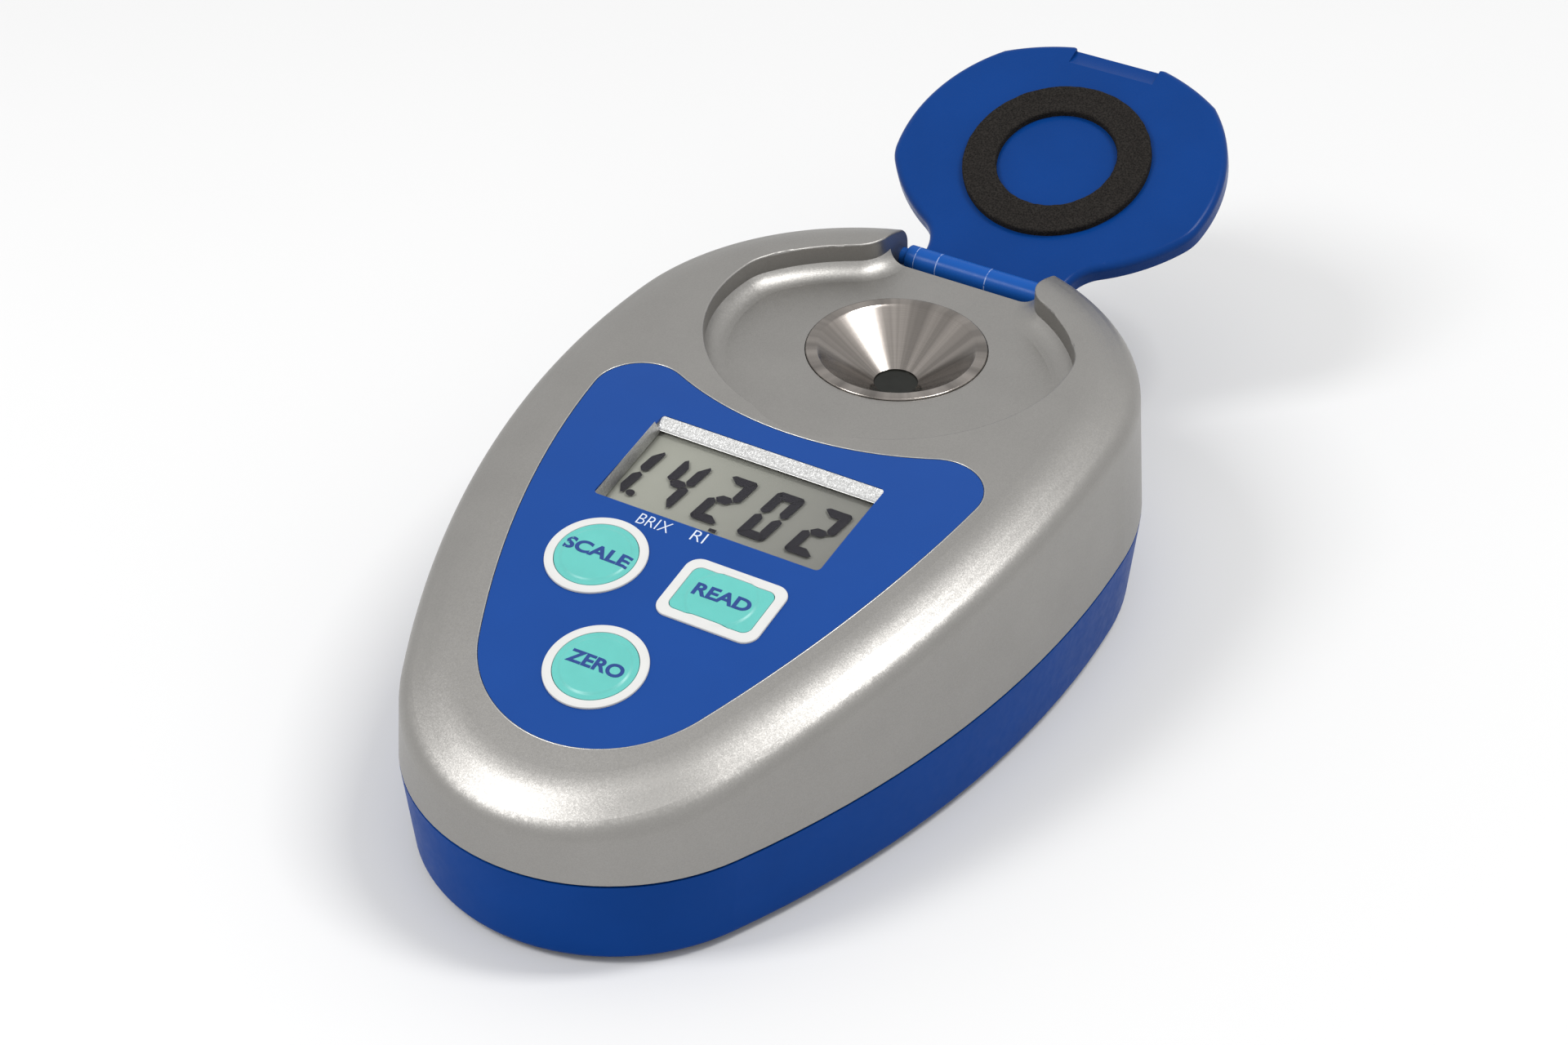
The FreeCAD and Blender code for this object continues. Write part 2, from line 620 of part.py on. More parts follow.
def make_board_screws():
    screws = []
    for x, y in board_posts():
        p = deck_point(x, y)
        low = BOARD_TOP - BOARD_T
        screw = union([rod(1.7, p.x, p.y, low - 1.2, low), rod(0.8, p.x, p.y, low, BOARD_TOP + 3)])
        screws.append(on_deck(screw.cut(box(p.x - 1.0, p.x + 1.0, p.y - 0.2, p.y + 0.2, low - 2, low - 0.7))))
    return group(screws)


def make_key_switches():
    """One tactile switch on the board under each key."""
    switches = []
    for name, at, half in KEYS:
        p = deck_point(at[0], at[1])
        body = rounded_block(p.x, p.y, 3.0, 3.0, BOARD_TOP, BOARD_TOP + 3.1, 0.4)
        plunger = rod(1.7, p.x, p.y, BOARD_TOP + 3, BOARD_TOP + SWITCH_H)
        switches.append(on_deck(union([body, plunger])))
    return group(switches)


def make_board_chips():
    """Controller, amplifier, crystal and capacitors under the board."""
    under = BOARD_TOP - BOARD_T
    sizes = [(0, 12, 5, 5, 1.4), (-15, 14, 3, 4, 1.2), (15, 12, 2.5, 2.0, 1.6), (14, -4, 4, 2.2, 1.8),
             (-13, -4, 1.6, 2.6, 1.2)]
    sizes += [(x, 22, 1.0, 0.6, 0.8) for x in (-6, 0, 6)]
    chips = [box(x - a, x + a, y - b, y + b, under - h, under) for x, y, a, b, h in sizes]
    return group([on_deck(chip) for chip in chips])


# ---------------------------------------------------------------- measuring head
GLASS_Z = WELL_FLOOR + CUP_PROUD - CONE_DEPTH


def make_sample_cup():
    """Turned steel cup: flat rim, polished cone and a skirt that drops through the shell."""
    rim = WELL_FLOOR + CUP_PROUD
    foot = GLASS_Z
    points = [(CONE_FOOT_R, foot), (CONE_FOOT_R, foot + 0.25), (CONE_R, rim), (CUP_R - 0.2, rim),
              (CUP_R, rim - 0.2), (CUP_R, WELL_FLOOR - 1.2), (CUP_R - 1.0, WELL_FLOOR - 1.2),
              (CUP_R - 1.0, WELL_FLOOR - 5.0), (CUP_R - 2.4, WELL_FLOOR - 5.0), (7.0, foot)]
    return spin(points, 0, CUP_Y)


def make_cup_seal():
    """Rubber ring in the corner between the cup's skirt and the underside of the shell."""
    ring = Part.makeTorus(CUP_R + 0.1, 0.7, V(0, CUP_Y, WELL_FLOOR - WALL - 0.7))
    return ring.cut(rod(CUP_R - 1.0, 0, CUP_Y, 20, 40))


def make_cup_nut():
    """Ring nut that pulls the cup down onto the shell from inside."""
    low, high = WELL_FLOOR - 5.4, WELL_FLOOR - WALL - 1.4
    nut = rod(CUP_R + 2.2, 0, CUP_Y, low, high).cut(rod(CUP_R - 1.0, 0, CUP_Y, low - 1, high + 1))
    for k in range(8):
        notch = box(-1.0, 1.0, CUP_R + 1.0, CUP_R + 4.0, low - 1, high + 1)
        notch.rotate(V(0, 0, 0), V(0, 0, 1), 45 * k)
        notch.translate(V(0, CUP_Y, 0))
        nut = nut.cut(notch)
    return nut


def make_prism():
    """Sapphire prism: its top face is the floor of the cup, its sloping ends pass the light."""
    top, low = GLASS_Z, GLASS_Z - 8.0
    points = [(CUP_Y - 6.5, top), (CUP_Y + 6.5, top), (CUP_Y + 6.5, top - 1.5), (CUP_Y + 2.5, low),
              (CUP_Y - 2.5, low), (CUP_Y - 6.5, top - 1.5)]
    return side_extrude(points, -4.5, 4.5)


OPTICS_Z = (9.0, GLASS_Z - 0.1)
PROBE_AT = (9.6, CUP_Y + 7.5)
PROBE_EAR_Z = 17.0


def make_optics_block():
    """Black block on the base that carries the prism, the lamp, the lens and the sensor."""
    low, high = OPTICS_Z
    block = box(-8, 8, CUP_Y - 15, CUP_Y + 15, low, high - 1.5)
    block = block.fuse(box(-6.5, 6.5, CUP_Y - 8.5, CUP_Y + 8.5, high - 1.6, high - 0.2)).removeSplitter()
    pocket = [(CUP_Y - 6.6, high + 1), (CUP_Y + 6.6, high + 1), (CUP_Y + 6.6, GLASS_Z - 1.6),
              (CUP_Y + 2.6, GLASS_Z - 8.1), (CUP_Y - 2.6, GLASS_Z - 8.1), (CUP_Y - 6.6, GLASS_Z - 1.6)]
    block = block.cut(side_extrude(pocket, -4.6, 4.6))
    tunnel = Part.makeCylinder(2.6, 16, V(0, CUP_Y + 3.0, GLASS_Z - 5.5), V(0, 14, -8))
    path = Part.makeCylinder(3.1, 18, V(0, CUP_Y - 3.0, GLASS_Z - 5.5), V(0, -14, -6))
    ear = box(7.5, PROBE_AT[0] + 1.6, PROBE_AT[1] - 1.6, PROBE_AT[1] + 1.6, PROBE_EAR_Z - 3, PROBE_EAR_Z)
    block = union([block, ear]).cut(tunnel).cut(path)
    return block.cut(box(-20, 20, CUP_Y - 30, CUP_Y - 14.2, low - 1, high - 2))


def aimed(shape, y, z, dy, dz):
    """Carry a shape built along +Z so that it lies along (dy, dz)."""
    shape = shape.copy()
    shape.rotate(V(0, 0, 0), V(1, 0, 0), math.degrees(math.atan2(-dy, dz)))
    shape.translate(V(0, CUP_Y + y, GLASS_Z + z))
    return shape


def make_light_source():
    lamp = union([rod(2.5, 0, 0, 4, 8), Part.makeSphere(2.5, V(0, 0, 4))])
    return aimed(lamp, 3.0, -5.5, 14, -8)


def make_condenser_lens():
    lens = rod(3.0, 0, 0, 6, 9).common(Part.makeSphere(6.5, V(0, 0, 3.4)))
    return aimed(lens, -3.0, -5.5, -14, -6)


def make_sensor_board():
    return box(-11, 11, CUP_Y - 16.2, CUP_Y - 15.0, 8, 24)


def make_line_sensor():
    return box(-7, 7, CUP_Y - 15.0, CUP_Y - 14.2, 13.0, 19.0)


def make_temperature_probe():
    """Small bead in the flank of the steel cup, with its two legs."""
    x, y = PROBE_AT
    bead = Part.makeSphere(1.0, V(x, y, GLASS_Z - 1.2))
    legs = [rod(0.25, x + dx, y, PROBE_EAR_Z, GLASS_Z - 1.3) for dx in (-0.5, 0.5)]
    return union([bead] + legs)


def make_flex_ribbon():
    """Flat ribbon from the sensor board forward to the main board."""
    edge = on_deck(Part.Vertex(V(0, 28.0, BOARD_TOP - BOARD_T))).Point
    start_y, t = CUP_Y - 16.2, 0.25
    points = [(start_y, 20.0), (start_y - t, 20.0), (start_y - t, 21.4), (edge.y + 2, edge.z - 1.6),
              (edge.y, edge.z - t), (edge.y - 3, edge.z - 0.75), (edge.y - 3, edge.z - 0.43),
              (edge.y, edge.z), (edge.y + 2.1, edge.z - 1.2), (start_y, 22.0)]
    return side_extrude(points, -4, 4)


# ---------------------------------------------------------------- lid
def closed_lid():
    body = well_block(-LID_GAP, LID_INNER, 60)
    body = body.common(rod(LID_FRONT_R, 0, LID_FRONT + LID_FRONT_R, LID_INNER, 60))
    body = body.common(under_crown(0))
    body = body.cut(box(-30, 30, HINGE_Y + 1.5, 100, 0, 100))
    faces = [e for e in body.Edges if e.BoundBox.ZMax < LID_INNER + 0.01 and e.BoundBox.YMin < 54]
    body = body.makeFillet(1.2, faces)
    front = LID_FRONT
    outline = [V(x, y, LID_INNER - 1) for x, y in
               ((-9.4, front - 2), (-9.4, front + 0.9), (-7.8, front + 1.7),
                (7.8, front + 1.7), (9.4, front + 0.9), (9.4, front - 2))]
    notch = Part.Face(Part.makePolygon(outline + outline[:1])).extrude(V(0, 0, 10))
    scoop = cross_rod(9.3, front + 1.2, LID_INNER - 8.5, -7.8, 7.8)
    body = body.cut(notch).cut(scoop)
    crest = HINGE_Z + TROUGH_R - 0.5
    thin = side_extrude([(60.0, 50), (60.0, TOP_Z + 0.1), (63.5, crest), (80, crest), (80, 50)], -30, 30)
    body = body.cut(thin)
    knuckle = [(HINGE_Y - 5.0, LID_INNER + 0.3), (HINGE_Y - 5.0, LID_INNER),
               (HINGE_Y - 3.6, LID_INNER - 0.55),
               (HINGE_Y - 2.4, LID_INNER - 1.6), (HINGE_Y - 1.6, HINGE_Z), (HINGE_Y + 1.5, HINGE_Z),
               (HINGE_Y + 1.5, LID_INNER + 0.3)]
    web = side_extrude(knuckle, -FINGER_FROM, FINGER_FROM)
    barrel = cross_rod(BARREL_R, HINGE_Y, HINGE_Z, -BARREL_HALF, BARREL_HALF)
    barrel = barrel.makeFillet(0.3, [e for e in barrel.Edges if e.BoundBox.XLength < 0.01])
    pins = cross_rod(PIN_R, HINGE_Y, HINGE_Z, -PIN_REACH, PIN_REACH)
    return union([body, web, barrel, pins])


def make_lid():
    return turn_lid(closed_lid())


def make_lid_foam_ring():
    ring = rod(FOAM_OUT, 0, FOAM_Y, LID_INNER - FOAM_T, LID_INNER)
    return turn_lid(ring.cut(rod(FOAM_IN, 0, FOAM_Y, 30, 50)))


# ---------------------------------------------------------------- all pieces
PIECES = {
    "base_shell": make_base_shell,
    "top_shell": make_top_shell,
    "shell_gasket": make_shell_gasket,
    "rubber_feet": make_rubber_feet,
    "housing_screws": make_housing_screws,
    "rating_plate": make_rating_plate,
    "battery_door": make_battery_door,
    "battery_cells": make_battery_cells,
    "battery_contacts": make_battery_contacts,
    "keypad_overlay": make_keypad_overlay,
    "key_borders": make_key_borders,
    "window_lens": make_window_lens,
    "display_glass": make_display_glass,
    "display_back": make_display_back,
    "display_frame": make_display_frame,
    "contact_strips": make_contact_strips,
    "main_board": make_main_board,
    "board_screws": make_board_screws,
    "key_switches": make_key_switches,
    "board_chips": make_board_chips,
    "sample_cup": make_sample_cup,
    "cup_seal": make_cup_seal,
    "cup_nut": make_cup_nut,
    "prism": make_prism,
    "optics_block": make_optics_block,
    "light_source": make_light_source,
    "condenser_lens": make_condenser_lens,
    "sensor_board": make_sensor_board,
    "line_sensor": make_line_sensor,
    "temperature_probe": make_temperature_probe,
    "flex_ribbon": make_flex_ribbon,
    "lid": make_lid,
    "lid_foam_ring": make_lid_foam_ring,
}


def main():
    os.makedirs("parts", exist_ok=True)
    shapes = {name: make() for name, make in PIECES.items()}
    for name, at, half in KEYS:
        shapes["key_" + name] = make_key(at, half)
    for name, shape in shapes.items():
        shape.translate(V(0, 0, -FOOT_PROUD))
        print(name, shape.isValid(), len(shape.Solids), round(shape.Volume, 1))
        shape.exportStep("parts/" + name + ".step")


main()
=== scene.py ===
import json
import math

import bmesh
import bpy
from mathutils import Matrix, Vector, noise
from mathutils.bvhtree import BVHTree


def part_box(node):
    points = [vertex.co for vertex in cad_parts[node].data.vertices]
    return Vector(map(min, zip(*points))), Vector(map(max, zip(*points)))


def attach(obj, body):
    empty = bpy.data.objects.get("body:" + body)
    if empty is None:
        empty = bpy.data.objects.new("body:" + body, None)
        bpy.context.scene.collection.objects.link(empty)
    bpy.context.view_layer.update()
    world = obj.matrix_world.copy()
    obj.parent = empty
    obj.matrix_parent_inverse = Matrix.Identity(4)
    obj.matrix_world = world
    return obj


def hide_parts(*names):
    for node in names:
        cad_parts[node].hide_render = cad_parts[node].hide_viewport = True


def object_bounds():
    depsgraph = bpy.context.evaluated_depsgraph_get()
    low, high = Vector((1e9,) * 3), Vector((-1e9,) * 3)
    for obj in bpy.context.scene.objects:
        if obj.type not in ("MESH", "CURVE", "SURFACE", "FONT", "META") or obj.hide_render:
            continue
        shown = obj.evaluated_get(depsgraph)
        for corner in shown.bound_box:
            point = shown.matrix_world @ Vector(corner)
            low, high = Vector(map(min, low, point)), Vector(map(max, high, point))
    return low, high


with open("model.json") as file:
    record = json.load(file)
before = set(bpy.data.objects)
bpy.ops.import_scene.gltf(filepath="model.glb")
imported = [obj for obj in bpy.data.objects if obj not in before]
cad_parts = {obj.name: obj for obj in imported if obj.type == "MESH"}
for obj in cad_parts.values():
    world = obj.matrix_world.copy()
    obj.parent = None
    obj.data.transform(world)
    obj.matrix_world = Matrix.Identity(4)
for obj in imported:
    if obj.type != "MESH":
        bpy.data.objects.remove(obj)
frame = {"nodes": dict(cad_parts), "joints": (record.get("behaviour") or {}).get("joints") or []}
cad_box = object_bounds()

MM = 0.001
NODES = frame["nodes"]
JOINTS = {joint["name"]: joint for joint in frame["joints"]}

# ---------------------------------------------------------------- sizes of what is built here, in millimetres
DIGIT_TEXT = "14202"
DIGIT_PITCH = 7.95
DIGIT_HEIGHT = 10.4
DIGIT_WIDTH = 4.6
DIGIT_STROKE = 1.55
DIGIT_GAP = 0.13
DIGIT_SLANT = math.tan(math.radians(9.0))
DIGIT_PLATE = 0.03         # thickness of a segment
DOT_RADII = (0.72, 0.62)
DOT_RIGHT = 1.05           # middle of the dot, from the foot of the first digit's cell
# mark beside the unit in use, from the middle of the display
MARK = ((-0.9, -7.7), (0.3, -7.7), (0.3, -7.1), (-0.9, -7.1))
DIGIT_RIGHT = 17.0         # top right corner of the last digit, from the middle of the display
DIGIT_TOP = 4.1            # top of the digits, towards the back from the middle of the display
DISPLAY_RISE = 0.42        # the pane makes the display look this much closer than it is
DISPLAY_SUNK = 0.42        # the reflector is seen this far below the layer that the digits are in
GROUND_HALF_Y, GROUND_CORNER = 10.6, 0.4
PANE_HALF, PANE_CORNER = (19.6, 10.5), 0.6
PLATE_SEGMENTS = 96
PANE_LAP = 1.16            # the pane reaches this far under the shell at its front and rear
SLOPE_RISE, SLOPE_FOOT = 1.12, 0.34     # top and foot of the slope behind the display, above the pane
SLOPE_RUN = 2.32           # depth of that slope, front to back
SLOPE_EASE = 0.06          # its foot and top are eased over this length
SLOPE_HALF_X = 18.97

DISC_R = 5.15              # embossed disc in each key
DISC_RISE = 0.3
DISC_SAG = 0.1             # the disc is a little domed
EMBOSS_WIDTH = 0.55
KEY_R = 6.15
RING_R = 7.6
READ_HALF = (6.65, 4.3)
READ_RING_HALF = (8.3, 6.0)
READ_CORNER = 1.3
READ_RING_CORNER = 2.3
DISC_ABOVE_BORDER = 0.57   # CAD: from the border's top up to the flat of the key's disc
BORDER_PROUD = 0.3
KEY_FOOT = 2.9             # CAD: from the border's top down to the foot of the key's cap
KEY_SEGMENTS = 288
VALLEY_DEPTH, VALLEY_OUT, VALLEY_WIDTH = 0.05, 0.5, 0.16        # round the embossed disc
GROOVE_DEPTH, GROOVE_IN, GROOVE_WIDTH = 0.05, 0.32, 0.075       # inside the border's outer edge
KEY_GAP = 0.09             # between a key and its border
NECK_R, NECK_H = 3.5, 0.15
FLANGE_OUT, FLANGE_T = 1.0, 0.75
STEM_R, STEM_EASE = 1.5, 0.15
LEGEND_HEIGHT, UNIT_HEIGHT = 2.4, 2.1
# cross-section of the window's left wall: across and up from the pane
WINDOW_SIDE = ((-SLOPE_HALF_X, 0.02), (-SLOPE_HALF_X, 1.75), (-18.90, 1.78), (-18.15, 0.06), (-18.15, 0.02))
PRINT_LIFT = 0.02          # printed letters stand this far off what they are printed on
PRINT_THICK = 0.015

FOAM_GRAIN = 0.055
FOAM_OUTER, FOAM_INNER, FOAM_THICK = 15.84, 10.12, 1.35
FOAM_SEGMENTS = 560
CREASE_DEPTH, CREASE_OUT, CREASE_WIDTH = 0.11, 0.35, 0.2        # circular crease, from the ring's middle
CUP_DEPTH, CUP_MOUTH, CUP_FOOT, CUP_EDGE = 6.7, 12.45, 3.5, 14.3
CUP_SEGMENTS = 256
BEAD_R, BEAD_GAP, BEAD_SEGMENTS = 0.13, 0.2, 10
FLOOR_HALF = 4000


# ---------------------------------------------------------------- shader helpers
class Shader:
    """A Principled material and short calls that add nodes to it."""

    def __init__(self, name, colour=None, **sockets):
        self.material = bpy.data.materials.new(name)
        self.material.use_nodes = True
        self.tree = self.material.node_tree
        self.bsdf = self.tree.nodes["Principled BSDF"]
        self.place = self.add("ShaderNodeTexCoord").outputs["Object"]
        if colour is not None:
            self.set("Base Color", (*colour, 1.0))
        for socket, value in sockets.items():
            self.set(socket.replace("_", " "), value)

    def add(self, kind, **inputs):
        node = self.tree.nodes.new(kind)
        for name, value in inputs.items():
            self.feed(node.inputs[name.replace("_", " ")], value)
        return node

    def feed(self, socket, value):
        if isinstance(value, bpy.types.NodeSocket):
            self.tree.links.new(value, socket)
        else:
            socket.default_value = value

    def set(self, socket, value):
        self.feed(self.bsdf.inputs[socket], value)

    def maths(self, operation, a, b=0.0, clamp=False):
        node = self.tree.nodes.new("ShaderNodeMath")
        node.operation = operation
        node.use_clamp = clamp
        self.feed(node.inputs[0], a)
        self.feed(node.inputs[1], b)
        return node.outputs[0]

    def vector(self, operation, a, b=(0.0, 0.0, 0.0)):
        node = self.tree.nodes.new("ShaderNodeVectorMath")
        node.operation = operation
        self.feed(node.inputs[0], a)
        self.feed(node.inputs[1], b)
        return node.outputs["Value" if operation in ("LENGTH", "DISTANCE") else "Vector"]

    def scaled(self, a, factor):
        node = self.tree.nodes.new("ShaderNodeVectorMath")
        node.operation = "SCALE"
        self.feed(node.inputs[0], a)
        node.inputs["Scale"].default_value = factor
        return node.outputs["Vector"]

    def noise(self, grain_mm, detail=2.0, place=None):
        node = self.add("ShaderNodeTexNoise", Scale=1.0 / (grain_mm * MM), Detail=detail)
        self.feed(node.inputs["Vector"], place or self.place)
        return node.outputs["Fac"]

    def cells(self, grain_mm, output="Distance"):
        node = self.add("ShaderNodeTexVoronoi", Scale=1.0 / (grain_mm * MM))
        self.feed(node.inputs["Vector"], self.place)
        return node.outputs[output]

    def range(self, value, from_low, from_high, to_low, to_high):
        node = self.tree.nodes.new("ShaderNodeMapRange")
        for name, number in (("Value", value), ("From Min", from_low), ("From Max", from_high),
                             ("To Min", to_low), ("To Max", to_high)):
            self.feed(node.inputs[name], number)
        return node.outputs["Result"]

    def blend(self, share, a, b):
        node = self.tree.nodes.new("ShaderNodeMix")
        node.data_type = "RGBA"
        self.feed(node.inputs["Factor"], share)
        for socket, colour in ((node.inputs[6], a), (node.inputs[7], b)):
            self.feed(socket, colour if isinstance(colour, bpy.types.NodeSocket) else (*colour, 1.0))
        return node.outputs[2]

    def mottle(self, colour, amount, grain_mm):
        """Base colour that drifts a little lighter and darker over the surface."""
        dark = tuple(c * (1 - amount) for c in colour)
        light = tuple(c * (1 + amount) for c in colour)
        share = self.range(self.noise(grain_mm, 3.0), 0.3, 0.7, 0.0, 1.0)
        return self.blend(share, dark, light)

    def uneven_roughness(self, noise, low, high):
        """Roughness that follows a noise between two values."""
        self.set("Roughness", self.range(noise, 0.3, 0.7, low, high))

    def bump(self, height, strength, depth_mm):
        node = self.add("ShaderNodeBump", Strength=strength, Distance=depth_mm * MM)
        self.feed(node.inputs["Height"], height)
        self.set("Normal", node.outputs["Normal"])

    def flakes(self, grain_mm, amount):
        """Each cell of a fine pattern leans its own way, as the flakes in a metallic lacquer do."""
        lean = self.scaled(self.vector("SUBTRACT", self.cells(grain_mm, "Color"), (0.5, 0.5, 0.5)), amount)
        facing = self.add("ShaderNodeNewGeometry").outputs["Normal"]
        self.set("Normal", self.vector("NORMALIZE", self.vector("ADD", facing, lean)))


# ---------------------------------------------------------------- materials
def silver_lacquer(name="silver_lacquer", colour=(0.315, 0.306, 0.292), sparkle=0.055, lean=0.085):
    """Lacquer with metal flakes, each a little lighter or darker and leaning its own way."""
    shader = Shader(name, Metallic=1.0, IOR=1.5)
    flecks = shader.range(shader.cells(0.13, "Color"), 0.0, 1.0, 1 - sparkle, 1 + sparkle)
    shader.set("Base Color", shader.vector("MULTIPLY", shader.mottle(colour, 0.025, 9.0), flecks))
    shader.uneven_roughness(shader.noise(0.35), 0.41, 0.46)
    shader.flakes(0.14, lean)
    return shader.material


def blue_plastic(name, colour, roughness, gloss, grain_mm=0.22):
    """Moulded plastic: fine eggshell surface and a slow drift of tone."""
    shader = Shader(name, IOR=1.5)
    shader.set("Base Color", shader.mottle(colour, 0.05, 14.0))
    shader.uneven_roughness(shader.noise(1.6, 4.0), roughness - 0.04, roughness + 0.05)
    shader.set("Specular IOR Level", gloss)
    shader.bump(shader.noise(grain_mm, 3.0), 0.12, 0.02)
    return shader


def lid_plastic():
    """The lid's plastic, with a painted highlight on the hinge barrel and pale lines round the barrel."""
    colour = (0.0018, 0.031, 0.155)
    shader = blue_plastic("lid_plastic", colour, 0.27, 0.09)
    hinge = Vector(JOINTS["lid_hinge"]["pos_m"])
    split = shader.add("ShaderNodeSeparateXYZ", Vector=shader.place)
    across = split.outputs["X"]
    from_hinge = shader.vector("SUBTRACT", shader.place, tuple(hinge))
    off_axis = shader.vector("MULTIPLY", from_hinge, (0.0, 1.0, 1.0))
    on_barrel = shader.range(shader.vector("LENGTH", off_axis), 2.3 * MM, 2.5 * MM, 1.0, 0.0)
    # Pale lines round the barrel at a few places along it, broken up by noise.
    pale_line = None
    for x, width in ((-10.6, 0.08), (-6.6, 0.11), (2.4, 0.11)):
        away = shader.maths("ABSOLUTE", shader.maths("SUBTRACT", across, x * MM))
        line = shader.range(away, width * 0.5 * MM, width * MM, 1.0, 0.0)
        pale_line = line if pale_line is None else shader.maths("MAXIMUM", pale_line, line)
    broken = shader.range(shader.noise(0.5, 3.0), 0.36, 0.52, 0.05, 0.55)
    mask = shader.maths("MULTIPLY", shader.maths("MULTIPLY", pale_line, on_barrel), broken)
    plain = shader.bsdf.inputs["Base Color"].links[0].from_socket
    # Painted highlight: the hinge barrel is coloured a lighter blue than the rest of the lid.
    painted_sheen = shader.blend(shader.maths("MULTIPLY", on_barrel, 0.6), plain, (0.011, 0.088, 0.36))
    shader.set("Base Color", shader.blend(mask, painted_sheen, (0.42, 0.5, 0.68)))
    return shader.material


def label_film():
    """Printed label film: satin, with a hair-fine texture."""
    colour = (0.0045, 0.0420, 0.202)
    shader = Shader("label_film", IOR=1.48, Roughness=0.42)
    shader.set("Base Color", shader.mottle(colour, 0.025, 11.0))
    shader.set("Specular IOR Level", 0.14)
    shader.bump(shader.noise(0.14, 2.0), 0.08, 0.01)
    return shader.material


def border_print():
    """White print of the raised borders."""
    shader = Shader("border_print", IOR=1.48, Roughness=0.38)
    shader.set("Specular IOR Level", 0.2)
    shader.set("Base Color", shader.mottle((0.50, 0.50, 0.49), 0.015, 2.5))
    shader.bump(shader.noise(0.2, 2.0), 0.06, 0.01)
    return shader.material


def key_film():
    """Turquoise film of the keys, a little translucent."""
    shader = Shader("key_film", IOR=1.48, Roughness=0.34)
    shader.set("Base Color", shader.mottle((0.084, 0.372, 0.338), 0.03, 3.5))
    shader.set("Subsurface Weight", 0.08)
    shader.set("Subsurface Radius", (0.3 * MM, 0.5 * MM, 0.5 * MM))
    shader.bump(shader.noise(0.22, 2.0), 0.08, 0.01)
    return shader.material


def ink(name, colour, roughness=0.5):
    """Screen-printed ink: a touch uneven."""
    shader = Shader(name, IOR=1.48, Roughness=roughness)
    shader.set("Specular IOR Level", 0.15)
    shader.set("Base Color", shader.mottle(colour, 0.08, 0.6))
    shader.bump(shader.noise(0.12, 2.0), 0.1, 0.01)
    return shader.material


def turned_steel():
    """Steel finished on a lathe: fine rings draw the lights out into streaks, and radial bands of painted
    highlight and painted shade lie over the colour.
    """
    shader = Shader("turned_steel", Metallic=1.0, IOR=2.5, Anisotropic=0.8)
    tangent = shader.add("ShaderNodeTangent")
    tangent.direction_type = "RADIAL"
    tangent.axis = "Z"
    shader.set("Tangent", tangent.outputs["Tangent"])
    low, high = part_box("sample_cup")
    middle = (low + high) / 2
    flat = shader.vector("MULTIPLY", shader.vector("SUBTRACT", shader.place, tuple(middle)), (1.0, 1.0, 0.0))
    radius = shader.vector("LENGTH", flat)
    rings = shader.add("ShaderNodeTexNoise", Scale=1.0 / (0.09 * MM), Detail=3.0)
    rings.noise_dimensions = "1D"
    shader.feed(rings.inputs["W"], radius)
    ringed = shader.blend(rings.outputs["Fac"], (0.235, 0.213, 0.195), (0.31, 0.284, 0.262))
    # Radial bands of painted highlight and painted shade: the colour is made lighter and darker round the cup
    # to stand for streaks of reflected light and the dark gaps between them.
    painted_streaks = shader.noise(1000.0, 3.0, shader.scaled(shader.vector("NORMALIZE", flat), 3.2))
    shader.set("Base Color", shader.vector("MULTIPLY", ringed, shader.range(painted_streaks, 0.36, 0.64, 0.62, 1.24)))
    shader.uneven_roughness(rings.outputs["Fac"], 0.15, 0.2)
    shader.bump(rings.outputs["Fac"], 0.05, 0.004)
    return shader.material


def metal(name, colour, roughness, grain_mm):
    """Any plain metal part."""
    shader = Shader(name, Metallic=1.0, IOR=2.5)
    shader.set("Base Color", shader.mottle(colour, 0.06, grain_mm * 4))
    shader.uneven_roughness(shader.noise(grain_mm, 3.0), roughness - 0.05, roughness + 0.08)
    shader.bump(shader.noise(grain_mm, 3.0), 0.1, 0.01)
    return shader.material


def moulded(name, colour, roughness, grain_mm=0.4, depth_mm=0.02):
    """Any plain moulding, board or casing."""
    shader = Shader(name, IOR=1.5)
    shader.set("Base Color", shader.mottle(colour, 0.12, grain_mm * 6))
    shader.uneven_roughness(shader.noise(grain_mm * 2, 3.0), roughness - 0.06, roughness + 0.06)
    shader.bump(shader.noise(grain_mm, 3.0), 0.25, depth_mm)
    return shader.material


def circuit_board():
    """Green solder mask over a faint pattern of copper tracks."""
    shader = Shader("circuit_board", IOR=1.5, Roughness=0.35)
    track = shader.add("ShaderNodeTexBrick", Scale=1.0 / (6.0 * MM), Mortar_Size=0.03)
    shader.feed(track.inputs["Vector"], shader.place)
    shader.set("Base Color", shader.blend(track.outputs["Fac"], (0.012, 0.11, 0.04), (0.04, 0.22, 0.07)))
    shader.bump(track.outputs["Fac"], 0.3, 0.03)
    return shader.material


def prism_glass():
    """The polished top of the prism: nearly black, because no light comes back out of it."""
    shader = Shader("prism_glass", IOR=1.77, Roughness=0.16)
    shader.set("Base Color", shader.mottle((0.013, 0.0135, 0.012), 0.12, 2.0))
    shader.set("Specular IOR Level", 0.05)
    shader.bump(shader.noise(0.6, 2.0), 0.04, 0.01)
    return shader.material


def window_acrylic():
    """Clear window: almost nothing of it is seen but a slight haze."""
    shader = Shader("window_acrylic", IOR=1.49, Roughness=0.2, Alpha=0.03)
    shader.set("Base Color", shader.mottle((0.2, 0.2, 0.2), 0.03, 6.0))
    shader.set("Specular IOR Level", 0.2)
    shader.material.surface_render_method = "BLENDED"
    return shader.material


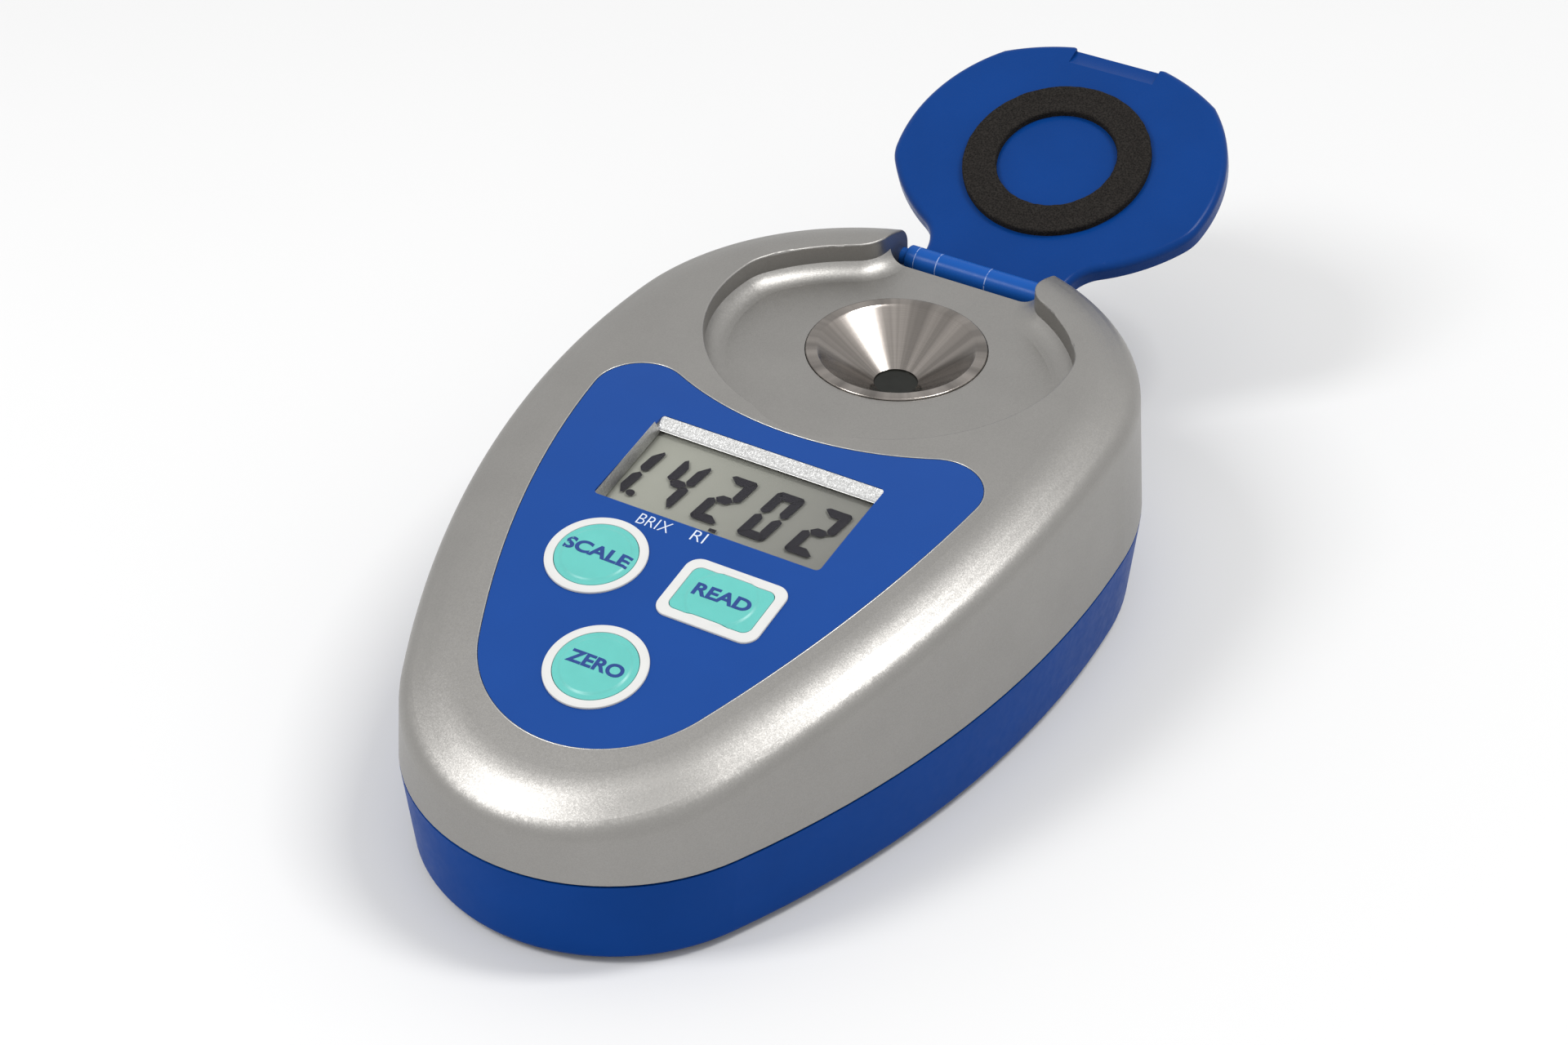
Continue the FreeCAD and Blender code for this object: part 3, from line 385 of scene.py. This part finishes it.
def display_ground():
    """Grey-green ground of the display, with painted shade that darkens it towards its right end."""
    shader = Shader("display_ground", IOR=1.5, Roughness=0.5)
    shader.set("Specular IOR Level", 0.2)
    low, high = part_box("display_glass")
    width = high.x - low.x
    across = shader.add("ShaderNodeSeparateXYZ", Vector=shader.place).outputs["X"]
    # Painted shade: the ground is coloured darker towards its right end.
    darker = shader.range(across, low.x + 0.15 * width, low.x + 0.8 * width, 0.0, 1.0)
    plain = shader.mottle((0.246, 0.250, 0.214), 0.02, 4.0)
    shader.set("Base Color", shader.blend(darker, plain, (0.158, 0.158, 0.141)))
    shader.bump(shader.noise(0.12, 2.0), 0.08, 0.01)
    return shader.material


def foam():
    """Fine-pored sheet foam, brownish black."""
    shader = Shader("foam", IOR=1.4, Roughness=0.95)
    pores = shader.cells(0.3)
    grain = shader.noise(0.22, 4.0)
    shade = shader.range(shader.maths("ADD", pores, grain), 0.45, 1.35, 0.0, 1.0)
    shader.set("Base Color", shader.blend(shade, (0.003, 0.0027, 0.0026), (0.021, 0.0185, 0.0165)))
    shader.set("Specular IOR Level", 0.12)
    shader.bump(shader.maths("ADD", pores, grain), 0.7, 0.12)
    return shader.material


def pale_floor():
    """Matt, nearly white ground that the object stands on."""
    shader = Shader("pale_floor", IOR=1.45, Roughness=0.75)
    shader.set("Base Color", shader.mottle((0.60, 0.60, 0.60), 0.004, 120.0))
    shader.set("Specular IOR Level", 0.1)
    return shader.material


def paint(names, material):
    """Give CAD nodes or new pieces a material."""
    for name in names:
        piece = NODES[name] if isinstance(name, str) else name
        piece.data.materials.clear()
        piece.data.materials.append(material)


# ---------------------------------------------------------------- geometry helpers
def flat_frame(node, towards=(0.0, 0.0, 1.0)):
    """Frame on the topmost broad flat of a CAD node that faces roughly a given way, as a matrix."""
    towards = Vector(towards)
    groups = {}
    for polygon in NODES[node].data.polygons:
        if polygon.normal.dot(towards) > 0.6:
            level = round(polygon.normal.dot(polygon.center) / (0.02 * MM))
            key = (*(round(c, 2) for c in polygon.normal), level)
            area, centre, normal = groups.get(key, (0.0, Vector(), Vector()))
            groups[key] = (area + polygon.area, centre + polygon.center * polygon.area,
                           normal + polygon.normal * polygon.area)
    broad = 0.3 * max(group[0] for group in groups.values())
    tops = [group for group in groups.values() if group[0] >= broad]
    area, centre, normal = max(tops, key=lambda group: group[1].dot(group[2].normalized()) / group[0])
    up = normal.normalized()
    right = Vector((1, 0, 0))
    back = up.cross(right).normalized()
    turn = Matrix((right, back, up)).transposed().to_4x4()
    return Matrix.Translation(centre / area) @ turn


def new_piece(name, mesh, body, material, smooth_deg=35.0):
    """Link a mesh as a piece that rides on a body."""
    piece = bpy.data.objects.new(name, mesh)
    bpy.context.scene.collection.objects.link(piece)
    paint([piece], material)
    mesh.shade_smooth()
    mesh.set_sharp_from_angle(angle=math.radians(smooth_deg))
    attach(piece, body)
    return piece


def mesh_from(name, build, place=None):
    """Mesh from a function that fills a bmesh in millimetres, put in place in the row frame."""
    bm = bmesh.new()
    build(bm)
    bmesh.ops.recalc_face_normals(bm, faces=bm.faces)
    bm.transform(Matrix.Scale(MM, 4))
    if place is not None:
        bm.transform(place)
    mesh = bpy.data.meshes.new(name)
    bm.to_mesh(mesh)
    bm.free()
    return mesh


def rings_to_faces(bm, rings, closed=True):
    """Skin a list of vertex rings of the same length."""
    for low, high in zip(rings, rings[1:]):
        count = len(low)
        for k in range(count if closed else count - 1):
            bm.faces.new((low[k], low[(k + 1) % count], high[(k + 1) % count], high[k]))


def circle_angles(count, start=0.0):
    """Evenly spaced directions round a full turn; start is a share of one space."""
    return [2 * math.pi * (k + start) / count for k in range(count)]


def ring_of(bm, count, reach, height):
    """Ring of vertices: reach goes with the direction, height with the point."""
    ring = []
    for angle in circle_angles(count):
        x, y = reach(angle) * math.cos(angle), reach(angle) * math.sin(angle)
        ring.append(bm.verts.new((x, y, height(x, y))))
    return ring


def closed_skin(bm, rings):
    """Skin a list of vertex rings and close both ends."""
    rings_to_faces(bm, rings)
    bm.faces.new(rings[0])
    bm.faces.new(rings[-1])


def rounded_plate(bm, half, corner, levels):
    """Closed plate with a rounded-rectangle outline, from (inset, height) levels."""
    rings = []
    for inset, z in levels:
        ring = []
        for angle in circle_angles(PLATE_SEGMENTS, 0.5):
            r = box_reach(angle, (half[0] - inset, half[1] - inset), corner)
            ring.append(bm.verts.new((r * math.cos(angle), r * math.sin(angle), z)))
        rings.append(ring)
    closed_skin(bm, rings)


def step(x, low, high):
    """Smooth step from 0 at low to 1 at high."""
    t = min(max((x - low) / (high - low), 0.0), 1.0)
    return t * t * (3 - 2 * t)


def box_reach(angle, half, corner):
    """Distance from the middle of a rounded rectangle to its outline, in a given direction."""
    c, s = abs(math.cos(angle)), abs(math.sin(angle))
    reach = min(half[0] / max(c, 1e-9), half[1] / max(s, 1e-9))
    x, y = c * reach, s * reach
    inner = (half[0] - corner, half[1] - corner)
    if x > inner[0] and y > inner[1]:
        along = c * inner[0] + s * inner[1]
        off = inner[0] ** 2 + inner[1] ** 2 - corner ** 2
        reach = along + math.sqrt(along ** 2 - off)
    return reach


# ---------------------------------------------------------------- keys
def emboss(x, y):
    """Height of the pressed disc at a point of a key or its border."""
    r = math.hypot(x, y)
    disc = 1 - step(r, DISC_R - EMBOSS_WIDTH / 2, DISC_R + EMBOSS_WIDTH / 2)
    dome = DISC_SAG * (1 - min(r / DISC_R, 1.0) ** 2)
    valley = VALLEY_DEPTH * math.exp(-((r - DISC_R - VALLEY_OUT) / VALLEY_WIDTH) ** 2)
    return disc * (DISC_RISE - DISC_SAG) + dome - valley


def key_outline(square, half, radius, corner, grow=0.0):
    """Function from direction to the distance of a key's or border's outline."""
    if square:
        return lambda angle: box_reach(angle, (half[0] + grow, half[1] + grow), corner + grow)
    return lambda angle: radius + grow


def build_key_cap(bm, square, stem_end):
    """Cap, neck, flange and stem of a key; stem_end is the height of the stem's lower end."""
    reach = key_outline(square, READ_HALF, KEY_R, READ_CORNER)
    flange = key_outline(square, READ_HALF, KEY_R, READ_CORNER, FLANGE_OUT)
    centre = bm.verts.new((0, 0, emboss(0, 0)))
    rings = []
    for share in [k / 44 for k in range(1, 44)] + [0.985, 0.995]:
        sag = 0.015 * step(share, 0.97, 1.0)
        rings.append(ring_of(bm, KEY_SEGMENTS, lambda angle: reach(angle) * share,
                             lambda x, y: emboss(x, y) - sag))
    rings.append(ring_of(bm, KEY_SEGMENTS, reach, lambda x, y: emboss(x, y) - 0.06))
    seat = -KEY_FOOT - NECK_H
    below = [(reach, -KEY_FOOT), (lambda angle: NECK_R, -KEY_FOOT), (lambda angle: NECK_R, seat),
             (flange, seat), (flange, seat - FLANGE_T), (lambda angle: STEM_R, seat - FLANGE_T),
             (lambda angle: STEM_R, stem_end + STEM_EASE), (lambda angle: STEM_R - STEM_EASE, stem_end)]
    for outline, z in below:
        rings.append(ring_of(bm, KEY_SEGMENTS, outline, lambda x, y: z))
    for k in range(KEY_SEGMENTS):
        bm.faces.new((centre, rings[0][k], rings[0][(k + 1) % KEY_SEGMENTS]))
    rings_to_faces(bm, rings)
    bm.faces.new(rings[-1])


def build_key_border(bm, square):
    """White border: flush with the key, a fine groove near its outer edge and a soft fall to the label."""
    inner = key_outline(square, READ_HALF, KEY_R, READ_CORNER, KEY_GAP)
    outer = key_outline(square, READ_RING_HALF, RING_R, READ_RING_CORNER)
    rings = []
    levels = [(0.0, -0.25), (0.0, -0.03), (0.02, 0.0)] + [(k / 24, 0.0) for k in range(1, 23)]
    levels += [(0.955, -0.03), (0.985, -0.1), (1.0, -0.2), (1.0, -BORDER_PROUD - 0.05)]
    for share, drop in levels:
        ring = []
        for angle in circle_angles(KEY_SEGMENTS):
            near, far = inner(angle), outer(angle)
            r = near + (far - near) * share
            groove = GROOVE_DEPTH * math.exp(-(((far - r) - GROOVE_IN) / GROOVE_WIDTH) ** 2)
            x, y = r * math.cos(angle), r * math.sin(angle)
            ring.append(bm.verts.new((x, y, emboss(x, y) + drop - groove)))
        rings.append(ring)
    rings_to_faces(bm, rings + rings[:1])


def letters(name, text, width, height, bold):
    """Flat letters as a triangle mesh, in millimetres: centred on X, with the baseline on y = 0."""
    curve = bpy.data.curves.new(name, "FONT")
    curve.body = text
    curve.size = 1.0
    curve.offset = bold
    curve.resolution_u = 6
    carrier = bpy.data.objects.new(name, curve)
    bpy.context.scene.collection.objects.link(carrier)
    bpy.context.view_layer.update()
    flat = bpy.data.meshes.new_from_object(carrier.evaluated_get(bpy.context.evaluated_depsgraph_get()))
    bpy.data.objects.remove(carrier)
    bpy.data.curves.remove(curve)
    bm = bmesh.new()
    bm.from_mesh(flat)
    bpy.data.meshes.remove(flat)
    bmesh.ops.remove_doubles(bm, verts=bm.verts, dist=1e-5)
    low = Vector((min(v.co.x for v in bm.verts), min(v.co.y for v in bm.verts), 0))
    high = Vector((max(v.co.x for v in bm.verts), max(v.co.y for v in bm.verts), 0))
    for vert in bm.verts:
        vert.co.x = (vert.co.x - (low.x + high.x) / 2) * width / (high.x - low.x)
        vert.co.y = (vert.co.y - low.y) * height / (high.y - low.y)
    bmesh.ops.triangulate(bm, faces=bm.faces)
    return bm


def print_on(name, text, target, place, width, height, body, material, bold=0.0):
    """Letters laid on a surface: every point is dropped onto it, straight down in the letters' frame."""
    bm = letters(name, text, width, height, bold)
    for _ in range(2):
        long_edges = [edge for edge in bm.edges if edge.calc_length() > 0.7]
        if long_edges:
            bmesh.ops.subdivide_edges(bm, edges=long_edges, cuts=1)
            bmesh.ops.triangulate(bm, faces=bm.faces)
    surface = BVHTree.FromPolygons([v.co for v in target.vertices], [p.vertices for p in target.polygons])
    down = -(place.to_3x3() @ Vector((0, 0, 1))).normalized()
    for vert in bm.verts:
        start = place @ (Vector((vert.co.x, vert.co.y, 4.0)) * MM)
        hit = surface.ray_cast(start, down)[0]
        vert.co = (hit if hit is not None else start + down * 4 * MM) - down * PRINT_LIFT * MM
    bmesh.ops.recalc_face_normals(bm, faces=bm.faces)
    if sum((face.normal for face in bm.faces), Vector()).dot(down) > 0:
        bmesh.ops.reverse_faces(bm, faces=bm.faces)
    solid = bmesh.ops.extrude_face_region(bm, geom=bm.faces[:])
    for item in solid["geom"]:
        if isinstance(item, bmesh.types.BMVert):
            item.co -= down * PRINT_THICK * MM
    mesh = bpy.data.meshes.new(name)
    bm.to_mesh(mesh)
    bm.free()
    return new_piece(name, mesh, body, material, 30)


def make_keys():
    """The three keys with their legends, each in its own border."""
    cap_material, border_material = key_film(), border_print()
    legend = ink("legend_ink", (0.018, 0.045, 0.175))
    words = {"key_scale": ("SCALE", 10.9, -0.85), "key_zero": ("ZERO", 9.0, -1.0),
             "key_read": ("READ", 9.2, -0.95)}
    for node, (word, width, baseline) in words.items():
        square = node == "key_read"
        place = flat_frame(node) @ Matrix.Translation((0, 0, -DISC_ABOVE_BORDER * MM))
        inward = place.inverted()
        stem_end = min((inward @ vert.co).z for vert in NODES[node].data.vertices) / MM
        cap = mesh_from(node + "_cap", lambda bm: build_key_cap(bm, square, stem_end), place)
        piece = new_piece(node + "_cap", cap, node, cap_material, 50)
        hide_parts(node)
        print_on(node + "_word", word, cap, place @ Matrix.Translation((0, baseline * MM, 0)), width,
                 LEGEND_HEIGHT, node, legend, 0.034)
        ring = mesh_from(node + "_border", lambda bm: build_key_border(bm, square), place)
        new_piece(node + "_border", ring, "housing", border_material, 50)
    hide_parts("key_borders")


# ---------------------------------------------------------------- display
SEGMENTS = {"1": "bc", "2": "abged", "4": "fgbc", "0": "abcdef"}


def segment_shapes():
    """Outlines of the seven segments in a cell from (0, 0) to (width, height)."""
    w, h, t, gap = DIGIT_WIDTH, DIGIT_HEIGHT, DIGIT_STROKE, DIGIT_GAP
    mid = h / 2
    bevel = 0.28 * t
    top = [(gap + bevel, h), (w - gap - bevel, h), (w - gap, h - bevel), (w - t - gap * 0.4, h - t),
           (t + gap * 0.4, h - t), (gap, h - bevel)]
    upper = [(w, h - gap - bevel), (w - bevel, h - gap), (w - t, h - t - gap), (w - t, mid + t / 2 + gap),
             (w - t / 2, mid + gap), (w, mid + gap + t * 0.3)]
    middle = [(t * 0.5 + gap, mid), (t + gap * 0.6, mid + t / 2), (w - t - gap * 0.6, mid + t / 2),
              (w - t * 0.5 - gap, mid), (w - t - gap * 0.6, mid - t / 2), (t + gap * 0.6, mid - t / 2)]

    def turned(points):
        return [(w - x, h - y) for x, y in points]

    def mirrored(points):
        return [(w - x, y) for x, y in points]

    return {"a": top, "b": upper, "c": mirrored(turned(upper)), "d": turned(top), "e": turned(upper),
            "f": mirrored(upper), "g": middle}


def add_plate(bm, outline, low, high):
    """Flat plate with straight sides between two heights."""
    floor = [bm.verts.new((x, y, low)) for x, y in outline]
    roof = [bm.verts.new((x, y, high)) for x, y in outline]
    bm.faces.new(floor)
    bm.faces.new(roof)
    rings_to_faces(bm, [floor, roof])


def build_digits(bm):
    """Slanted seven-segment digits, the decimal dot and the mark beside the unit in use."""
    shapes = segment_shapes()
    foot = DIGIT_TOP - DIGIT_HEIGHT
    for k, digit in enumerate(DIGIT_TEXT):
        right = DIGIT_RIGHT - DIGIT_PITCH * (len(DIGIT_TEXT) - 1 - k)
        for name in SEGMENTS[digit]:
            outline = [(right - DIGIT_WIDTH + x - (DIGIT_HEIGHT - y) * DIGIT_SLANT, foot + y)
                       for x, y in shapes[name]]
            add_plate(bm, outline, -DIGIT_PLATE, 0.0)
    dot_x = DIGIT_RIGHT - DIGIT_PITCH * (len(DIGIT_TEXT) - 1) - DIGIT_HEIGHT * DIGIT_SLANT + DOT_RIGHT
    dot = [(dot_x + DOT_RADII[0] * math.cos(a), foot + DOT_RADII[1] + DOT_RADII[1] * math.sin(a))
           for a in circle_angles(24)]
    add_plate(bm, dot, -DIGIT_PLATE, 0.0)
    add_plate(bm, MARK, -DIGIT_PLATE, 0.0)


def build_display_ground(bm):
    """Plate under the digits, with softened edges."""
    low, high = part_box("display_glass")
    half = ((high.x - low.x) / 2 / MM - 0.05, GROUND_HALF_Y)
    levels = [(inset, z - DISPLAY_SUNK) for inset, z in ((0.0, -1.4), (0.0, -0.08), (0.08, 0.0))]
    rounded_plate(bm, half, GROUND_CORNER, levels)


def build_pane(bm):
    """The clear pane's upper skin, with eased edges."""
    rounded_plate(bm, PANE_HALF, PANE_CORNER, ((0.1, -0.1), (0.0, -0.06), (0.0, -0.03), (0.06, 0.0)))


def make_display():
    """Ground, digits and pane, in place of the CAD's display and window."""
    place = flat_frame("display_glass") @ Matrix.Translation((0, 0, DISPLAY_RISE * MM))
    ground = new_piece("display_ground", mesh_from("display_ground", build_display_ground, place),
                       "housing", display_ground(), 40)
    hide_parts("display_glass")
    pane = new_piece("window_pane", mesh_from("window_pane", build_pane, flat_frame("window_lens")),
                     "housing", window_acrylic(), 40)
    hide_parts("window_lens")
    new_piece("display_digits", mesh_from("display_digits", build_digits, place), "housing",
              ink("display_ink", (0.0085, 0.0075, 0.0115), 0.42), 30)


def make_window_slope():
    """Slope behind the display and leaning wall at its left, from the label's surface down to the pane."""
    pane = flat_frame("window_lens")
    low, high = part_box("window_lens")
    back = (high.y - low.y) / 2 / MM / pane.to_3x3()[1][1] - PANE_LAP
    front, toe = -back, back - SLOPE_RUN
    bottom = SLOPE_FOOT - 0.04

    def build(bm):
        run, rise = SLOPE_RUN - 2 * SLOPE_EASE, SLOPE_RISE - SLOPE_FOOT
        profile = [(toe, bottom), (toe + SLOPE_EASE, SLOPE_FOOT)]
        profile += [(toe + SLOPE_EASE + run * k / 6, SLOPE_FOOT + rise * k / 6) for k in range(7)]
        profile += [(back, SLOPE_RISE - 0.02), (back, bottom)]
        columns = [-SLOPE_HALF_X + 2 * SLOPE_HALF_X * k / 40 for k in range(41)]
        closed_skin(bm, [[bm.verts.new((x, y, z)) for y, z in profile] for x in columns])

    # A lighter copy of the shell's silver lacquer, painted light: the slope and the wall beside it are
    # coloured brighter than the shell so that they look brightly lit.
    lacquer = silver_lacquer("window_slope", (0.44, 0.44, 0.435), 0.22, 0.2)
    new_piece("window_slope", mesh_from("window_slope", build, pane), "housing",
              lacquer, 30)

    def build_side(bm):
        start = front + 0.04
        rows = [start + (toe - start) * k / 24 for k in range(25)]
        closed_skin(bm, [[bm.verts.new((x, y, z)) for x, z in WINDOW_SIDE] for y in rows])

    new_piece("window_side", mesh_from("window_side", build_side, pane), "housing",
              lacquer, 30)


def make_panel_bead():
    """Hairline bead where the shell's face turns down round the label."""
    film = NODES["keypad_overlay"].data
    bm = bmesh.new()
    bm.from_mesh(film)
    bmesh.ops.remove_doubles(bm, verts=bm.verts, dist=1e-6)
    top = [face for face in bm.faces if face.normal.z > 0.8]
    tops = set(top)
    rim = {}
    for edge in bm.edges:
        if len(edge.link_faces) == 2 and len(tops.intersection(edge.link_faces)) == 1:
            for a, b in (edge.verts, reversed(edge.verts)):
                rim.setdefault(a, []).append(b)
    start = min(rim, key=lambda vert: vert.co.y)
    loop, last, here = [start], None, start
    while True:
        ahead = [vert for vert in rim[here] if vert is not last]
        last, here = here, ahead[0]
        if here is start:
            break
        loop.append(here)
    points = [vert.co.copy() / MM for vert in loop]
    bm.free()

    def build(out):
        rings = []
        for k, point in enumerate(points):
            way = (points[(k + 1) % len(points)] - points[k - 1]).normalized()
            side = way.cross(Vector((0, 0, 1))).normalized()
            if side.dot(Vector((point.x, point.y + 22, 0))) < 0:
                side = -side
            middle = point + side * BEAD_GAP - Vector((0, 0, 0.01))
            up = side.cross(way)
            rings.append([out.verts.new(middle + side * BEAD_R * math.cos(a) + up * BEAD_R * math.sin(a))
                          for a in circle_angles(BEAD_SEGMENTS)])
        rings_to_faces(out, rings + rings[:1])

    new_piece("panel_bead", mesh_from("panel_bead", build), "housing",
              metal("bead_metal", (0.40, 0.395, 0.38), 0.34, 0.5), 60)


def make_panel_print():
    """The two unit marks printed on the label under the display."""
    white = ink("panel_ink", (0.50, 0.54, 0.62), 0.45)
    film = NODES["keypad_overlay"].data
    tilt = flat_frame("display_glass").to_3x3().to_4x4()
    for name, word, x, y, width in (("word_brix", "BRIX", -7.3, -20.8, 5.4),
                                    ("word_ri", "RI", 0.0, -20.4, 2.2)):
        spot = Vector((x * MM, y * MM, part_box("keypad_overlay")[1].z))
        print_on(name, word, film, Matrix.Translation(spot) @ tilt, width, UNIT_HEIGHT, "housing",
                 white, -0.011)


# ---------------------------------------------------------------- steel cup
def lathe(bm, profile, segments):
    """Surface of revolution about Z from (radius, height) points; the profile is closed."""
    rings = [ring_of(bm, segments, lambda angle: r, lambda x, y: z) for r, z in profile]
    rings_to_faces(bm, rings + rings[:1])


def build_cup(bm):
    """The turned cup, its edges eased as a lathe tool leaves them; z = 0 is the top of the rim."""
    base, lip = 0.25 - CUP_DEPTH, -0.06
    slope = [(CUP_FOOT + (CUP_MOUTH - CUP_FOOT) * k / 24, base + (lip - base) * k / 24) for k in range(25)]
    round_over = [math.pi / 16 * k for k in range(9)]
    rim = [(CUP_MOUTH + 0.07, -0.02), (CUP_MOUTH + 0.16, 0.0)]
    rim += [(CUP_EDGE - 0.3 + 0.3 * math.sin(a), -0.3 + 0.3 * math.cos(a)) for a in round_over]
    under = [(CUP_EDGE, -1.5), (CUP_EDGE - 1.0, -1.5), (CUP_EDGE - 1.0, -5.3), (CUP_EDGE - 2.4, -5.3),
             (7.0, -CUP_DEPTH)]
    lathe(bm, [(CUP_FOOT, -CUP_DEPTH)] + slope + rim + under, CUP_SEGMENTS)


def make_cup():
    """The turned cup, in place of the CAD's."""
    low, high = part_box("sample_cup")
    middle = (low + high) / 2
    place = Matrix.Translation((middle.x, middle.y, high.z))
    cup = new_piece("cup_turned", mesh_from("cup_turned", build_cup, place), "housing",
                    turned_steel(), 32)
    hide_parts("sample_cup")


# ---------------------------------------------------------------- foam ring
def build_foam(bm):
    """Ring cut from sheet foam: soft edges, an uneven pored face and a circular crease."""
    middle, half = (FOAM_OUTER + FOAM_INNER) / 2, (FOAM_OUTER - FOAM_INNER) / 2
    profile = [(-1.0, -FOAM_THICK), (-1.0, -0.5), (-0.985, -0.2), (-0.94, -0.06)]
    profile += [(-0.88 + 1.76 * k / 34, 0.0) for k in range(35)]
    profile += [(0.94, -0.06), (0.985, -0.2), (1.0, -0.5), (1.0, -FOAM_THICK)]
    rings = []
    for share, z in profile:
        ring = []
        free = step(z, -FOAM_THICK, -0.5)
        for angle in circle_angles(FOAM_SEGMENTS):
            wander = 0.09 * free * noise.noise(Vector((math.cos(angle), math.sin(angle), share)) * 9)
            r = middle + half * share + wander
            x, y = r * math.cos(angle), r * math.sin(angle)
            pores = FOAM_GRAIN * free * noise.fractal(Vector((x, y, 3.0)) * 3.4, 1.0, 2.0, 3)
            crease = -CREASE_DEPTH * math.exp(-((r - middle - CREASE_OUT) / CREASE_WIDTH) ** 2) * free
            ring.append(bm.verts.new((x, y, z - 0.07 + pores + crease)))
        rings.append(ring)
    rings_to_faces(bm, rings + rings[:1])


def make_foam():
    """The foam ring in the lid, in place of the CAD's."""
    place = flat_frame("lid_foam_ring", (0.0, -0.3, 1.0))
    ring = new_piece("foam_ring", mesh_from("foam_ring", build_foam, place), "lid", foam(), 60)
    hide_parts("lid_foam_ring")


# ---------------------------------------------------------------- CAD nodes that keep their shape
def paint_cad():
    """Material of every CAD node that is kept."""
    shell_blue = blue_plastic("shell_blue", (0.002, 0.041, 0.213), 0.36, 0.035).material
    paint(["top_shell"], silver_lacquer())
    paint(["base_shell", "battery_door"], shell_blue)
    paint(["lid"], lid_plastic())
    paint(["keypad_overlay"], label_film())
    paint(["prism"], prism_glass())
    paint(["shell_gasket", "rubber_feet", "cup_seal"],
          moulded("black_rubber", (0.012, 0.012, 0.013), 0.7, 0.3, 0.03))
    paint(["housing_screws", "board_screws"], metal("plated_steel", (0.55, 0.55, 0.54), 0.25, 0.4))
    paint(["rating_plate", "display_back"], metal("foil", (0.56, 0.56, 0.55), 0.4, 0.3))
    paint(["battery_contacts"], metal("spring_strip", (0.58, 0.56, 0.5), 0.28, 0.3))
    paint(["cup_nut"], metal("nut_brass", (0.56, 0.38, 0.14), 0.3, 0.4))
    paint(["battery_cells"], metal("cell_jacket", (0.10, 0.10, 0.12), 0.35, 0.5))
    paint(["display_frame", "optics_block"], moulded("black_plastic", (0.014, 0.014, 0.015), 0.55))
    paint(["key_switches", "board_chips", "line_sensor"],
          moulded("component_body", (0.02, 0.02, 0.022), 0.45, 0.2))
    paint(["contact_strips"], moulded("elastomer", (0.22, 0.18, 0.17), 0.7, 0.25))
    paint(["main_board", "sensor_board"], circuit_board())
    paint(["flex_ribbon"], moulded("ribbon_film", (0.42, 0.22, 0.05), 0.35, 0.3, 0.01))
    paint(["light_source"], moulded("lamp_resin", (0.72, 0.45, 0.12), 0.15, 0.5, 0.01))
    paint(["condenser_lens"], moulded("lens_glass", (0.62, 0.66, 0.7), 0.06, 0.5, 0.003))
    paint(["temperature_probe"], moulded("probe_bead", (0.02, 0.02, 0.03), 0.25, 0.2, 0.01))


# ---------------------------------------------------------------- studio
AIM = Vector((-0.00254, 0.00971, 0.01906))
CAMERA_AZIMUTH, CAMERA_ELEVATION, CAMERA_DISTANCE = 30.142, 36.706, 0.51132


def softbox(name, direction, distance, size, power, aim=AIM):
    """Rectangular soft light in a given direction from the object, facing it."""
    light = bpy.data.lights.new(name, "AREA")
    light.shape = "RECTANGLE"
    light.size, light.size_y = size
    light.energy = power
    lamp = bpy.data.objects.new(name, light)
    way = Vector(direction).normalized()
    lamp.location = aim + way * distance
    lamp.rotation_mode = "QUATERNION"
    lamp.rotation_quaternion = (-way).to_track_quat("-Z", "Y")
    bpy.context.scene.collection.objects.link(lamp)


def make_studio():
    """Camera, two soft overhead lights, even white surroundings and a pale floor."""
    azimuth, elevation = math.radians(CAMERA_AZIMUTH), math.radians(CAMERA_ELEVATION)
    back = Vector((math.sin(azimuth) * math.cos(elevation), -math.cos(azimuth) * math.cos(elevation),
                   math.sin(elevation)))
    lens = bpy.data.cameras.new("camera")
    lens.lens, lens.sensor_width = 76.76, 36.0
    lens.clip_start, lens.clip_end = 0.01, 20.0
    camera = bpy.data.objects.new("camera", lens)
    camera.location = AIM + back * CAMERA_DISTANCE
    camera.rotation_mode = "QUATERNION"
    camera.rotation_quaternion = (-back).to_track_quat("-Z", "Y")
    bpy.context.scene.collection.objects.link(camera)
    bpy.context.scene.camera = camera

    softbox("overhead_right", (0.38, 0.21, 0.90), 0.9, (0.12, 0.36), 4.4)
    softbox("overhead_left", (-0.41, -0.49, 0.77), 0.9, (0.19, 0.36), 4.0)

    world = bpy.data.worlds.new("studio")
    world.use_nodes = True
    world.node_tree.nodes["Background"].inputs["Color"].default_value = (1.0, 1.0, 1.0, 1.0)
    world.node_tree.nodes["Background"].inputs["Strength"].default_value = 0.86
    bpy.context.scene.world = world
    bpy.context.scene.view_settings.view_transform = "Standard"

    def build_floor(bm):
        bmesh.ops.create_grid(bm, x_segments=8, y_segments=8, size=FLOOR_HALF)

    floor = mesh_from("floor", build_floor)
    piece = bpy.data.objects.new("floor", floor)
    piece.location.z = cad_box[0].z
    bpy.context.scene.collection.objects.link(piece)
    paint([piece], pale_floor())


paint_cad()
make_keys()
make_display()
make_window_slope()
make_panel_bead()
make_panel_print()
make_cup()
make_foam()
make_studio()
